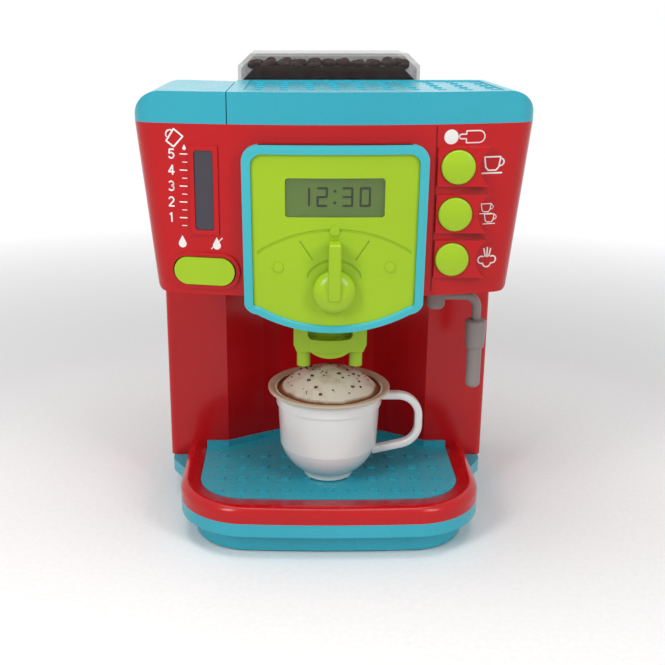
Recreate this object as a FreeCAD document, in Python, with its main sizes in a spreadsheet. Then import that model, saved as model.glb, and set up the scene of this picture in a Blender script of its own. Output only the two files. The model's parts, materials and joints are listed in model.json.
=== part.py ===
import FreeCAD, Part
import math
import os

import Sketcher
from FreeCAD import Placement, Rotation, Vector

doc = FreeCAD.newDocument("toy_coffee_maker")

# Driving dimensions in millimetres: X to the right, Y to the back, Z up from the ground
SIZES = {
    # Walls and clearances
    "wall": 2.4,
    "thin_wall": 1.8,
    "fit_gap": 0.3,
    "snug_gap": 0.15,
    "pin_gap": 0.06,
    # Body: two columns with a shallow recess between them
    "body_half": 102.0,
    "body_front": 16.0,
    "body_back": 97.0,
    "body_foot": 22.0,
    "body_edge": 4.0,
    "back_corner": 22.0,
    "seam_y": 55.0,
    "crease_x": 64.0,
    "recess_mid_x": 41.0,
    "recess_mid_y": 30.0,
    "recess_deep_x": 31.0,
    "recess_deep_y": 35.0,
    "recess_arc": 162.0,
    # Head: bowed front, sides that draw in downwards
    "head_foot": 156.5,
    "head_flare": 2.5,
    "head_draft": 7.2,
    "head_edge": 5.0,
    "face_y": -81.5,
    "face_radius": 327.0,
    "head_corner_across": 9.0,
    "head_corner_deep": 13.0,
    "head_corner_radius": 13.2,
    # Cap, platform and lid
    "cap_foot": 246.0,
    "cap_top": 262.0,
    "cap_shoulder": 15.0,
    "cap_front_edge": 2.5,
    "deck_top": 252.0,
    "deck_front": 24.0,
    "deck_edge": 4.0,
    "lid_seam_x": -55.0,
    "seam_gap": 0.5,
    "platform_left": -47.0,
    "platform_right": 88.0,
    "platform_front": -64.0,
    "platform_back": 19.0,
    "platform_corner": 4.0,
    "platform_sink": 0.7,
    "bar_length": 4.2,
    "bar_width": 1.6,
    "bar_pitch_x": 13.75,
    "bar_pitch_y": 17.0,
    "bar_first_x": -40.0,
    "bar_first_y": -56.0,
    "scoop_length": 34.0,
    "scoop_width": 14.0,
    "scoop_sink": 1.4,
    # Bean hopper
    "hopper_half": 54.7,
    "hopper_front": 30.0,
    "hopper_back": 88.0,
    "hopper_top": 277.0,
    "hopper_chamfer_x": 7.5,
    "hopper_chamfer_z": 7.0,
    "bean_gap": 1.4,
    "bean_top": 272.0,
    "bean_radius": 5.6,
    "bean_pitch_x": 11.4,
    "bean_pitch_y": 10.8,
    # Control panel and its frame
    "bezel_half": 47.8,
    "bezel_foot_half": 47.0,
    "bezel_top": 236.5,
    "bezel_side_foot": 153.0,
    "bezel_sag_radius": 90.0,
    "bezel_rise": 5.5,
    "bezel_frame": 4.6,
    "bezel_corner": 8.5,
    "bezel_foot_corner": 6.5,
    "apron_depth": 14.0,
    "opening_half": 44.0,
    "notch_half": 40.0,
    "opening_foot": 164.0,
    "opening_top": 233.5,
    "panel_rise": 4.0,
    "panel_thick": 2.0,
    "panel_skin": 0.6,
    "display_half": 25.5,
    "display_foot": 199.9,
    "display_top": 219.9,
    "display_corner": 1.6,
    "lens_sink": 0.8,
    "lens_thick": 1.2,
    "module_deep": 6.0,
    "board_y": -67.0,
    "board_thick": 1.6,
    "post_radius": 2.4,
    # Selector knob and the marks round it
    "knob_z": 161.5,
    "knob_radius": 11.25,
    "knob_skirt": 4.4,
    "knob_gap": 0.5,
    "pointer_width": 6.8,
    "pointer_reach": 26.5,
    "pointer_proud": 11.0,
    "shaft_radius": 4.0,
    "shaft_length": 9.0,
    "switch_radius": 9.0,
    "switch_deep": 11.0,
    "ring_radius": 16.0,
    "ring_width": 1.2,
    "mark_radius": 31.5,
    "mark_size": 2.5,
    "mark_angle": 67.0,
    "tick_inner": 19.7,
    "tick_outer": 31.7,
    "tick_width": 0.9,
    "tick_angle": 34.3,
    "fan_radius": 71.6,
    "fan_drop": 39.8,
    "fan_width": 1.4,
    # Push buttons on the right wing
    "pad_left": 52.5,
    "pad_right": 80.0,
    "pad_height": 20.0,
    "pad_cove": 11.5,
    "pad_y": -78.6,
    "pad_inner_y": -71.0,
    "button_radius": 8.75,
    "button_proud": 2.8,
    "button_gap": 0.3,
    "button_dome": 1.2,
    "flange_extra": 1.2,
    "flange_thick": 1.6,
    "stem_radius": 4.0,
    "stem_length": 4.0,
    "press_travel": 2.5,
    "top_button_x": 63.0,
    "top_button_z": 224.6,
    "middle_button_x": 62.4,
    "middle_button_z": 200.3,
    "low_button_x": 61.8,
    "low_button_z": 176.5,
    "button_board_y": -59.0,
    "dome_radius": 5.0,
    # Level window and pump rocker on the left wing
    "window_left": -72.5,
    "window_right": -62.5,
    "window_foot": 191.3,
    "window_top": 232.7,
    "window_frame": 2.5,
    "window_rise": 1.0,
    "window_flange": 2.0,
    "rocker_x": -68.3,
    "rocker_z": 169.5,
    "rocker_half": 16.2,
    "rocker_high": 7.3,
    "rocker_end_gap": 0.7,
    "rocker_side_gap": 0.4,
    "rocker_rise": 2.6,
    "rocker_back_y": -68.0,
    "rocker_axis_y": -71.0,
    "rocker_pin": 1.5,
    "rocker_rim": 2.0,
    "rocker_rim_rise": 1.5,
    "rocker_well_y": -66.0,
    "rocker_board_y": -62.0,
    "rocker_throw": 1.2,
    # Spout
    "spout_half": 21.2,
    "spout_front": -38.0,
    "spout_back": -25.0,
    "spout_shoulder_z": 116.0,
    "spout_foot": 111.5,
    "spout_foot_half": 19.4,
    "spout_bar_sag": 4.0,
    "spout_bow": 3.0,
    "spout_recess_half": 13.0,
    "spout_recess_foot": 119.0,
    "spout_recess_top": 146.0,
    "spout_recess_deep": 6.5,
    "nozzle_x": 15.4,
    "nozzle_y": -31.0,
    "nozzle_radius": 3.9,
    "nozzle_bore": 2.2,
    "nozzle_foot": 101.5,
    "hose_radius": 3.0,
    "hose_bore": 1.8,
    # Steam wand
    "wand_x": 60.0,
    "wand_y": -40.0,
    "wand_cap_radius": 5.1,
    "wand_cap_foot": 139.0,
    "wand_arm_radius": 2.65,
    "wand_arm_z": 146.5,
    "wand_reach": 23.5,
    "wand_bend": 7.5,
    "wand_pin_radius": 3.0,
    "collar_top": 132.0,
    "collar_foot": 115.0,
    "collar_top_radius": 6.1,
    "collar_foot_radius": 5.4,
    "wand_nozzle_radius": 4.2,
    "wand_foot": 91.0,
    "clip_radius": 6.0,
    "clip_thick": 1.5,
    # Base, ring and drip tray
    "base_half": 89.5,
    "base_rear_half": 100.0,
    "base_front": -80.0,
    "base_back": 96.0,
    "base_bow": 850.0,
    "base_corner": 42.0,
    "base_rear_corner": 20.0,
    "base_flare_front": -8.0,
    "base_flare_back": 10.0,
    "base_flare_round": 10.0,
    "band_foot": 14.0,
    "step_inset": 9.0,
    "rim_foot": 0.8,
    "base_roof": 2.0,
    "ring_top": 32.0,
    "ring_crest_inset": 5.0,
    "ring_edge": 4.6,
    "tray_half": 78.0,
    "tray_front": -60.0,
    "tray_corner": 28.0,
    "tray_floor": 28.6,
    "tray_lip": 32.4,
    "tray_lip_thick": 2.2,
    "tray_shell": 2.0,
    "dimple_height": 0.9,
    "dimple_long": 5.2,
    "dimple_wide": 3.2,
    "dimple_pitch_x": 13.2,
    "dimple_pitch_y": 16.5,
    "dimple_first_y": -51.0,
    # Underside and batteries
    "plate_foot": 1.5,
    "foot_radius": 9.0,
    "front_foot_x": 52.0,
    "front_foot_y": -50.0,
    "rear_foot_x": 68.0,
    "rear_foot_y": 72.0,
    "front_boss_inset": 24.5,
    "front_boss_y": -18.0,
    "rear_boss_inset": 22.0,
    "rear_boss_y": 40.0,
    "boss_radius": 4.0,
    "screw_radius": 1.3,
    "screw_gap": 0.05,
    "screw_head": 2.8,
    "screw_head_high": 1.2,
    "well_half": 23.5,
    "well_front": 2.0,
    "well_back": 60.0,
    "well_roof": 1.0,
    "door_lap": 3.5,
    "door_tab": 8.0,
    "cell_radius": 7.25,
    "cell_length": 50.5,
    "contact_radius": 5.0,
    # Housing screws
    "housing_screw_x": 83.0,
    "low_screw_z": 52.0,
    "high_screw_z": 204.0,
    "housing_boss": 4.6,
    "housing_boss_deep": 16.0,
    "screw_well": 3.6,
    # Inside the head
    "tank_left": -88.0,
    "tank_right": -58.5,
    "tank_front": -58.0,
    "tank_back": 32.0,
    "tank_foot": 187.0,
    "tank_top": 243.0,
    "tank_corner": 4.0,
    "tank_rib_x": -84.0,
    "tank_rib_front": -45.0,
    "tank_rib_back": 6.0,
    "nipple_x": -70.0,
    "nipple_y": 20.0,
    "nipple_length": 7.0,
    "pump_x": -39.0,
    "pump_half": 13.0,
    "pump_high": 26.0,
    "pump_deep": 14.0,
    "motor_radius": 12.0,
    "motor_length": 28.0,
    "hose_z": 170.0,
    "hose_bend": 8.0,
    # Speaker
    "speaker_z": 100.0,
    "speaker_radius": 20.0,
    "speaker_deep": 6.0,
    "grille_half": 14.0,
    "grille_slot": 2.0,
    "grille_pitch": 5.0,
    # Cup and foam
    "cup_y": -24.0,
    "cup_foot_radius": 15.0,
    "cup_foot_high": 2.5,
    "cup_bowl_z": 50.0,
    "cup_bowl_radius": 29.3,
    "cup_band_z": 76.0,
    "cup_band_low_radius": 31.2,
    "cup_band_radius": 32.0,
    "cup_lip_z": 82.5,
    "cup_top": 86.5,
    "cup_lip_radius": 36.6,
    "cup_lip_thick": 1.6,
    "cup_wall": 1.7,
    "handle_x": 57.0,
    "handle_top": 79.5,
    "handle_low": 60.5,
    "handle_foot": 43.8,
    "handle_foot_x": 26.8,
    "handle_wide": 6.4,
    "handle_thick": 4.6,
    "handle_bend": 13.0,
    "foam_edge_radius": 32.4,
    "foam_groove_radius": 30.4,
    "foam_groove_z": 84.0,
    "foam_top": 97.5,
    "foam_under": 79.0,
}

sheet = doc.addObject("Spreadsheet::Sheet", "sizes")
for row, (name, value) in enumerate(SIZES.items(), start=1):
    sheet.set(f"A{row}", name)
    sheet.set(f"B{row}", str(value))
    sheet.setAlias(f"B{row}", name)
doc.recompute()


class Length:
    """A length with its value and the formula that ties it to the sheet."""

    def __init__(self, formula, value):
        self.formula = formula
        self.value = value

    def __add__(self, other):
        other = length(other)
        return Length(f"({self.formula} + {other.formula})", self.value + other.value)

    def __sub__(self, other):
        other = length(other)
        return Length(f"({self.formula} - {other.formula})", self.value - other.value)

    def __mul__(self, other):
        other = length(other)
        return Length(f"({self.formula} * {other.formula})", self.value * other.value)

    def __truediv__(self, other):
        other = length(other)
        return Length(f"({self.formula} / {other.formula})", self.value / other.value)

    def __neg__(self):
        return Length(f"(-{self.formula})", -self.value)

    def __radd__(self, other):
        return length(other) + self

    def __rsub__(self, other):
        return length(other) - self

    def __rmul__(self, other):
        return length(other) * self


def length(number):
    """The number as a Length, so that sizes and plain numbers mix."""
    if isinstance(number, Length):
        return number
    return Length(f"({float(number):.9g})", float(number))


def root(square):
    return Length(f"sqrt({square.formula})", math.sqrt(square.value))


class Sizes:
    """Every driving dimension of the sheet, as an attribute."""


S = Sizes()
for name, value in SIZES.items():
    setattr(S, name, Length(f"sizes.{name}", float(value)))

# Half widths of the flared head at its top and foot
head_top_half = S.body_half + S.head_flare
head_foot_half = S.body_half - S.head_draft


class Bulge:
    """Makes the edge between two corners an arc, which bows to the right of the outline's way unless left is set."""

    def __init__(self, radius, left=False):
        self.radius = length(radius)
        self.left = left


class Circle:
    def __init__(self, x, y, radius):
        self.x = length(x)
        self.y = length(y)
        self.radius = length(radius)


class Pill:
    """A bar with two round ends, along the sketch's first axis or, if upright, its second."""

    def __init__(self, x, y, half_long, half_high, upright=False):
        self.x = length(x)
        self.y = length(y)
        self.radius = length(half_high)
        self.offset = length(half_long) - half_high
        self.upright = upright


def box(left, low, right, high, corner=None):
    """A rectangle's outline, with round corners if a radius is given."""
    corners = [(left, low), (right, low), (right, high), (left, high)]
    if corner is None:
        return corners
    return [(x, y, corner) for x, y in corners]


def arc_edge(centre, radius, start, end, turns_left):
    """The arc from start to end, with the numbers of its ends in a sketch."""
    first, last = (start, end) if turns_left else (end, start)
    angles = [math.atan2(p.y - centre.y, p.x - centre.x) for p in (first, last)]
    if angles[1] < angles[0]:
        angles[1] += 2 * math.pi
    circle = Part.Circle(centre, Vector(0, 0, 1), radius)
    arc = Part.ArcOfCircle(circle, angles[0], angles[1])
    return arc, (1, 2) if turns_left else (2, 1)


class Drawing:
    """Collects a sketch's lines and the dimensions that tie them to the sheet."""

    def __init__(self, sketch):
        self.sketch = sketch
        self.rules = []
        self.formulas = {}

    def add(self, shape, helper=False):
        return self.sketch.addGeometry(shape, helper)

    def rule(self, *values):
        self.rules.append(Sketcher.Constraint(*values))

    def size(self, kind, *values):
        """A dimension whose last value is a Length."""
        size = length(values[-1])
        if "sizes." in size.formula:
            self.formulas[len(self.rules)] = size.formula
        self.rule(kind, *values[:-1], size.value)

    def place(self, geometry, end, x, y):
        self.size("DistanceX", -1, 1, geometry, end, x)
        self.size("DistanceY", -1, 1, geometry, end, y)

    def finish(self):
        self.sketch.addConstraint(self.rules)
        for index, formula in self.formulas.items():
            self.sketch.setExpression(f"Constraints[{index}]", formula)

    def circle(self, loop):
        centre = Vector(loop.x.value, loop.y.value, 0)
        geometry = self.add(Part.Circle(centre, Vector(0, 0, 1), loop.radius.value))
        self.size("Radius", geometry, loop.radius)
        self.place(geometry, 3, loop.x, loop.y)

    def pill(self, loop):
        along, across = (loop.offset, 0) if not loop.upright else (0, loop.offset)
        turn = math.pi / 2 if loop.upright else 0
        arcs = []
        for sign in (1, -1):
            x = loop.x + sign * length(along)
            y = loop.y + sign * length(across)
            start = -sign * math.pi / 2 + turn
            circle = Part.Circle(Vector(x.value, y.value, 0), Vector(0, 0, 1), loop.radius.value)
            arc = self.add(Part.ArcOfCircle(circle, start, start + math.pi))
            self.place(arc, 3, x, y)
            self.size("Radius", arc, loop.radius)
            arcs.append(arc)
        for here, there in (arcs, reversed(arcs)):
            start = self.sketch.getPoint(here, 2)
            end = self.sketch.getPoint(there, 1)
            line = self.add(Part.LineSegment(start, end))
            self.rule("Tangent", here, 2, line, 1)
            self.rule("Tangent", line, 2, there, 1)

    def outline(self, loop):
        """A closed outline: corners are (x, y) or (x, y, radius), with a Bulge between two where they join by an arc."""
        corners = []
        bulges = {}
        for step in loop:
            if isinstance(step, Bulge):
                bulges[len(corners) - 1] = step
            else:
                corners.append(tuple(length(value) for value in step))
        count = len(corners)
        points = [Vector(corner[0].value, corner[1].value, 0) for corner in corners]
        arrive, leave, rounds = list(points), list(points), {}
        for i, corner in enumerate(corners):
            if len(corner) < 3:
                continue
            back = (points[i - 1] - points[i]).normalize()
            ahead = (points[(i + 1) % count] - points[i]).normalize()
            half = math.acos(back.dot(ahead)) / 2
            radius = corner[2].value
            arrive[i] = points[i] + back * (radius / math.tan(half))
            leave[i] = points[i] + ahead * (radius / math.tan(half))
            centre = points[i] + (back + ahead).normalize() * (radius / math.sin(half))
            turns_left = ahead.cross(back).z > 0
            arc, ends = arc_edge(centre, radius, arrive[i], leave[i], turns_left)
            rounds[i] = self.add(arc), ends
        edges = []
        for i in range(count):
            start, end = leave[i], arrive[(i + 1) % count]
            if i not in bulges:
                edges.append((self.add(Part.LineSegment(start, end)), (1, 2)))
                continue
            radius = bulges[i].radius
            middle = (start + end) / 2
            along = (end - start).normalize()
            left = Vector(-along.y, along.x, 0)
            reach = math.sqrt(radius.value**2 - ((end - start).Length / 2) ** 2)
            side = -1 if bulges[i].left else 1
            arc, ends = arc_edge(middle + left * (side * reach), radius.value, start, end, side > 0)
            edges.append((self.add(arc), ends))
            self.size("Radius", edges[i][0], radius)
        for i, corner in enumerate(corners):
            before, ends_before = edges[i - 1]
            after, ends_after = edges[i]
            if i not in rounds:
                self.rule("Coincident", before, ends_before[1], after, ends_after[0])
                self.place(after, ends_after[0], corner[0], corner[1])
                continue
            arc, ends = rounds[i]
            self.rule("Tangent", before, ends_before[1], arc, ends[0])
            self.rule("Tangent", arc, ends[1], after, ends_after[0])
            self.size("Radius", arc, corner[2])
            point = self.add(Part.Point(points[i]), True)
            self.place(point, 1, corner[0], corner[1])
            self.rule("PointOnObject", point, 1, before)
            self.rule("PointOnObject", point, 1, after)


parts = {}


def new_body(name, kept=True):
    """An empty body; one that is kept is a piece of the object."""
    body = doc.addObject("PartDesign::Body", name)
    body.Label = name
    if kept:
        parts[name] = body
    return body


def keep(piece, name):
    piece.Label = name
    parts[name] = piece
    return piece


def sketch_on(body, plane, loops, height):
    """A sketch at a height on one of the body's planes; XZ sketches look to the front, so their height counts back."""
    sketch = body.newObject("Sketcher::SketchObject", "sketch")
    origin = [o for o in body.Origin.OriginFeatures if o.Role == plane + "_Plane"][0]
    sketch.AttachmentSupport = (origin, [""])
    sketch.MapMode = "FlatFace"
    height = length(height)
    sketch.AttachmentOffset = Placement(Vector(0, 0, height.value), Rotation())
    sketch.setExpression("AttachmentOffset.Base.z", height.formula)
    drawing = Drawing(sketch)
    for loop in loops:
        if isinstance(loop, Circle):
            drawing.circle(loop)
        elif isinstance(loop, Pill):
            drawing.pill(loop)
        else:
            drawing.outline(loop)
    drawing.finish()
    return sketch


def prism(body, kind, plane, loops, start, end):
    """A pad or pocket between two heights on the axis that the plane faces."""
    start = length(start)
    end = length(end)
    height = -end if plane == "XZ" else start
    sketch = sketch_on(body, plane, loops, height)
    feature = body.newObject("PartDesign::" + kind, kind.lower())
    feature.Profile = sketch
    feature.Length = (end - start).value
    feature.setExpression("Length", (end - start).formula)
    feature.Reversed = kind == "Pocket"
    feature.Refine = False
    return feature


def pad(body, plane, loops, start, end):
    return prism(body, "Pad", plane, loops, start, end)


def pocket(body, plane, loops, start, end):
    return prism(body, "Pocket", plane, loops, start, end)


def loft(body, kind, sections):
    """A ruled loft through (height, outline) sections on the XY plane."""
    sketches = [sketch_on(body, "XY", [outline], height) for height, outline in sections]
    feature = body.newObject("PartDesign::" + kind, kind.lower())
    feature.Profile = sketches[0]
    feature.Sections = sketches[1:]
    feature.Ruled = True
    feature.Refine = False
    return feature


def turned(body, loop, height=0):
    """A solid turned about the body's Z axis from a half section of (radius, z) corners."""
    sketch = sketch_on(body, "XZ", [loop], height)
    feature = body.newObject("PartDesign::Revolution", "revolution")
    feature.Profile = sketch
    feature.ReferenceAxis = (sketch, ["V_Axis"])
    feature.Angle = 360
    return feature


def edges_of(feature, test):
    """The names of the feature's edges whose box passes the test."""
    doc.recompute()
    names = []
    for index, edge in enumerate(feature.Shape.Edges, start=1):
        if test(edge.BoundBox):
            names.append(f"Edge{index}")
    return names


def fillet(body, feature, test, radius):
    names = edges_of(feature, test)
    rounded = body.newObject("PartDesign::Fillet", "fillet")
    rounded.Base = (feature, names)
    rounded.Radius = radius.value
    rounded.setExpression("Radius", radius.formula)
    return rounded


def pattern(body, feature, pitch_x, count_x, pitch_y, count_y):
    """Repeats a feature in columns along X and rows along Y."""
    grid = body.newObject("PartDesign::MultiTransform", "grid")
    grid.Originals = [feature]
    axes = {axis.Role: axis for axis in body.Origin.OriginFeatures}
    steps = []
    for role, pitch, count in (("X_Axis", pitch_x, count_x), ("Y_Axis", pitch_y, count_y)):
        step = body.newObject("PartDesign::LinearPattern", "row")
        step.Direction = (axes[role], [""])
        step.Occurrences = count
        step.Length = (pitch * (count - 1)).value
        step.setExpression("Length", (pitch * (count - 1)).formula)
        steps.append(step)
    grid.Transformations = steps
    body.Tip = grid
    return grid


def put(piece, x, y, z, rotation=None):
    """Places a piece, tied to the sheet; the rotation stays fixed."""
    base = [length(value) for value in (x, y, z)]
    piece.Placement = Placement(Vector(*[v.value for v in base]), rotation or Rotation())
    for axis, value in zip("xyz", base):
        piece.setExpression(f"Placement.Base.{axis}", value.formula)
    return piece


def rod(name, radius, long, x, y, z, axis="Z"):
    """A round bar that starts at a point and runs along an axis."""
    bar = doc.addObject("Part::Cylinder", name)
    bar.setExpression("Radius", length(radius).formula)
    bar.setExpression("Height", length(long).formula)
    turns = {
        "Z": Rotation(),
        "Y": Rotation(Vector(1, 0, 0), -90),
        "-Y": Rotation(Vector(1, 0, 0), 90),
        "X": Rotation(Vector(0, 1, 0), 90),
        "-Z": Rotation(Vector(1, 0, 0), 180),
    }
    return put(bar, x, y, z, turns[axis])


def block(name, left, front, low, right, back, high):
    """A box between two corners."""
    brick = doc.addObject("Part::Box", name)
    brick.setExpression("Length", (length(right) - left).formula)
    brick.setExpression("Width", (length(back) - front).formula)
    brick.setExpression("Height", (length(high) - low).formula)
    return put(brick, left, front, low)


def joined(name, *pieces):
    union = doc.addObject("Part::MultiFuse", name)
    union.Shapes = list(pieces)
    return union


def cut(name, base, tool):
    rest = doc.addObject("Part::Cut", name)
    rest.Base = base
    rest.Tool = tool
    return rest


def group(name, pieces):
    """Separate solids under one name."""
    together = doc.addObject("Part::Compound", name)
    together.Links = list(pieces)
    return together


# Local Z faces the front and local Y points up
FACE_FRONT = Rotation(Vector(1, 0, 0), 90)
FAR = 40


def face_y(x, rise=0):
    """The Y of the bowed front at a place across it, or of a surface that stands out from it."""
    radius = S.face_radius + rise
    return S.face_y + S.face_radius - root(radius * radius - length(x) * x)


def half_at(z):
    """The head's half width at a height."""
    slope = (head_top_half - head_foot_half) / (S.cap_foot - S.head_foot)
    return head_foot_half + (z - S.head_foot) * slope


def head_plan(half, inset, back):
    """The head seen from above: a bowed front, round corners and straight sides."""
    turn = half - S.head_corner_across
    side_y = face_y(turn) + S.head_corner_deep
    front_y = face_y(turn, -inset)
    corner = S.head_corner_radius - inset
    side = half - inset
    return [
        (-turn, front_y),
        Bulge(S.face_radius - inset),
        (turn, front_y),
        Bulge(corner),
        (side, side_y),
        (side, back),
        (-side, back),
        (-side, side_y),
        Bulge(corner),
    ]


def face_band(left, right, back_rise, front_rise):
    """A strip of the bowed front, seen from above, between two rises."""
    return [
        (left, face_y(left, front_rise)),
        Bulge(S.face_radius + front_rise),
        (right, face_y(right, front_rise)),
        (right, face_y(right, back_rise)),
        Bulge(S.face_radius + back_rise, left=True),
        (left, face_y(left, back_rise)),
    ]


def base_plan(inset):
    """The base seen from above: bowed front, round corners and a flare to the wider rear."""
    half = S.base_half - inset
    rear = S.base_rear_half - inset
    turn = S.base_half - S.base_corner
    front_y = S.base_front + inset
    side_y = S.base_front + S.base_corner
    corner = S.base_corner - inset
    return [
        (-turn, front_y),
        Bulge(S.base_bow),
        (turn, front_y),
        Bulge(corner),
        (half, side_y),
        (half, S.base_flare_front, S.base_flare_round),
        (rear, S.base_flare_back, S.base_flare_round),
        (rear, S.base_back - inset, S.base_rear_corner - inset),
        (-rear, S.base_back - inset, S.base_rear_corner - inset),
        (-rear, S.base_flare_back, S.base_flare_round),
        (-half, S.base_flare_front, S.base_flare_round),
        (-half, side_y),
        Bulge(corner),
    ]


def ring_plan(half, front, corner, back):
    """The ring or tray seen from above, open to the body at the back."""
    turn = half - corner
    side_y = front + corner
    return [
        (-turn, front),
        Bulge(S.base_bow),
        (turn, front),
        Bulge(corner),
        (half, side_y),
        (half, back),
        (-half, back),
        (-half, side_y),
        Bulge(corner),
    ]


def recess_line(forward):
    """The columns' front and the recess between them, from the right crease to the left one."""
    return [
        (S.crease_x, S.body_front - forward),
        (S.recess_mid_x, S.recess_mid_y - forward),
        (S.recess_deep_x, S.recess_deep_y - forward),
        Bulge(S.recess_arc),
        (-S.recess_deep_x, S.recess_deep_y - forward),
        (-S.recess_mid_x, S.recess_mid_y - forward),
        (-S.crease_x, S.body_front - forward),
    ]


def back_along(line):
    """The same line run the other way; its arc then bows to the other side."""
    return [Bulge(s.radius, not s.left) if isinstance(s, Bulge) else s for s in reversed(line)]


# Front housing: the head, its shelf, the wings and the columns with the recess
housing = new_body("front_housing")
loft(
    housing,
    "AdditiveLoft",
    [
        (S.head_foot, head_plan(head_foot_half, length(0), S.seam_y)),
        (S.cap_foot, head_plan(head_top_half, length(0), S.seam_y)),
    ],
)
# The lower side edges are rounded; the side leans out, so each end of the round is given
edge_cuts = []
edge_run = S.head_edge * 0.856
edge_high = S.head_foot + edge_run * 0.988
for side in (-1, 1):
    low_end = ((head_foot_half - edge_run) * side, S.head_foot)
    high_end = (half_at(edge_high) * side, edge_high)
    ends = [high_end, low_end] if side > 0 else [low_end, high_end]
    edge_cuts.append(
        [
            ends[0],
            Bulge(S.head_edge, left=True),
            ends[1],
            (ends[1][0] if side > 0 else ends[1][0] - 9, S.head_foot - 3 if side > 0 else edge_high),
            ((head_foot_half + 9) * side, S.head_foot - 3),
            (ends[0][0] + 9 if side > 0 else ends[0][0], edge_high if side > 0 else S.head_foot - 3),
        ]
    )
pocket(housing, "XZ", edge_cuts, S.face_y - 9, S.seam_y + 1)
inner = S.body_half - S.wall
pad(
    housing,
    "XY",
    [
        [(S.body_half, S.seam_y), (S.body_half, S.body_front, S.body_edge)]
        + recess_line(0)
        + [(-S.body_half, S.body_front, S.body_edge), (-S.body_half, S.seam_y), (-inner, S.seam_y)]
        + [(-inner, S.body_front + S.wall)]
        + back_along(recess_line(-S.wall))
        + [(inner, S.body_front + S.wall), (inner, S.seam_y)]
    ],
    S.body_foot,
    S.cap_foot,
)
over = S.cap_foot + 1
loft(
    housing,
    "SubtractiveLoft",
    [
        (S.head_foot + S.wall, head_plan(half_at(S.head_foot + S.wall), S.wall, S.seam_y + 1)),
        (over, head_plan(half_at(over), S.wall, S.seam_y + 1)),
    ],
)

# Opening behind the control panel, with a notch through the shelf for the selector's switch
pocket(
    housing,
    "XZ",
    [
        [
            (-S.notch_half, S.head_foot - 1),
            (S.notch_half, S.head_foot - 1),
            (S.notch_half, S.opening_foot),
            (S.opening_half, S.opening_foot),
            (S.opening_half, S.opening_top),
            (-S.opening_half, S.opening_top),
            (-S.opening_half, S.opening_foot),
            (-S.notch_half, S.opening_foot),
        ]
    ],
    S.face_y - FAR,
    S.face_y + S.apron_depth - S.wall / 2,
)

# Fine line at the inner edge of the right wing
pocket(
    housing,
    "XZ",
    [box(S.pad_left - 1.4, S.head_foot + S.wall, S.pad_left - 0.6, S.cap_foot - 1)],
    S.face_y - FAR,
    face_y(S.pad_left) + 0.8,
)

# Raised frame and hole of the level window
frame_left = S.window_left - S.window_frame
frame_right = S.window_right + S.window_frame
pad(
    housing,
    "XY",
    [face_band(frame_left, frame_right, -S.wall / 2, S.window_rise)],
    S.window_foot - S.window_frame,
    S.window_top + S.window_frame,
)
pocket(
    housing,
    "XZ",
    [box(S.window_left, S.window_foot, S.window_right, S.window_top, S.display_corner)],
    S.face_y - FAR,
    S.tank_front - 4,
)

# Raised rim, well and pin holes of the pump rocker
rim_half = S.rocker_half + S.rocker_end_gap + S.rocker_rim
rim_high = S.rocker_high + S.rocker_side_gap + S.rocker_rim
pad(
    housing,
    "XZ",
    [Pill(S.rocker_x, S.rocker_z, rim_half, rim_high)],
    S.face_y,
    S.rocker_well_y,
)
rim_rise = S.rocker_rim_rise
trim_left = S.rocker_x - rim_half - 1
trim_right = S.rocker_x + rim_half + 1
pocket(
    housing,
    "XY",
    [
        [
            (trim_left, S.face_y - FAR),
            (trim_right, S.face_y - FAR),
            (trim_right, face_y(trim_right, rim_rise)),
            Bulge(S.face_radius + rim_rise, left=True),
            (trim_left, face_y(trim_left, rim_rise)),
        ]
    ],
    S.rocker_z - rim_high - 1,
    S.rocker_z + rim_high + 1,
)
pocket(
    housing,
    "XZ",
    [
        Pill(
            S.rocker_x,
            S.rocker_z,
            S.rocker_half + S.rocker_end_gap,
            S.rocker_high + S.rocker_side_gap,
        )
    ],
    S.face_y - FAR,
    S.rocker_well_y + 0.5,
)
pin_reach = S.rocker_high + 1
pocket(
    housing,
    "XY",
    [Circle(S.rocker_x, S.rocker_axis_y, S.rocker_pin + S.pin_gap)],
    S.rocker_z - pin_reach - 0.2,
    S.rocker_z + pin_reach + 0.2,
)

# Three raised pads with the holes of the push buttons
BUTTONS = {
    "one_cup": (S.top_button_x, S.top_button_z),
    "two_cups": (S.middle_button_x, S.middle_button_z),
    "steam": (S.low_button_x, S.low_button_z),
}
pads = []
holes = []
for x, z in BUTTONS.values():
    low = z - S.pad_height / 2
    high = z + S.pad_height / 2
    pads.append(
        [
            (S.pad_left, low),
            (S.pad_right, low),
            Bulge(S.pad_cove, left=True),
            (S.pad_right, high),
            (S.pad_left, high),
        ]
    )
    holes.append(Circle(x, z, S.button_radius + S.button_gap))
pad(housing, "XZ", pads, S.pad_y, S.pad_inner_y)
pocket(housing, "XZ", holes, S.pad_y - FAR, S.pad_inner_y + 1)

# Posts that carry the button board and the rocker board
inner_post = S.pad_left + 2
outer_post = S.pad_left + 22
upper_post_z = S.top_button_z - S.pad_height / 2 - 2.1
lower_post_z = S.low_button_z + S.pad_height / 2 + 2.0
inner_posts = [Circle(inner_post, z, S.post_radius) for z in (upper_post_z, lower_post_z)]
pad(housing, "XZ", inner_posts, face_y(inner_post) + 1, S.button_board_y)
outer_posts = [Circle(outer_post, upper_post_z, S.post_radius)]
pad(housing, "XZ", outer_posts, face_y(outer_post) + 1, S.button_board_y)
board_post_z = S.rocker_z + rim_high + 1.5
rocker_posts = [Circle(S.rocker_x + x, board_post_z, S.post_radius) for x in (-10, 10)]
pad(housing, "XZ", rocker_posts, face_y(S.rocker_x - 10) + 1, S.rocker_board_y)

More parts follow.
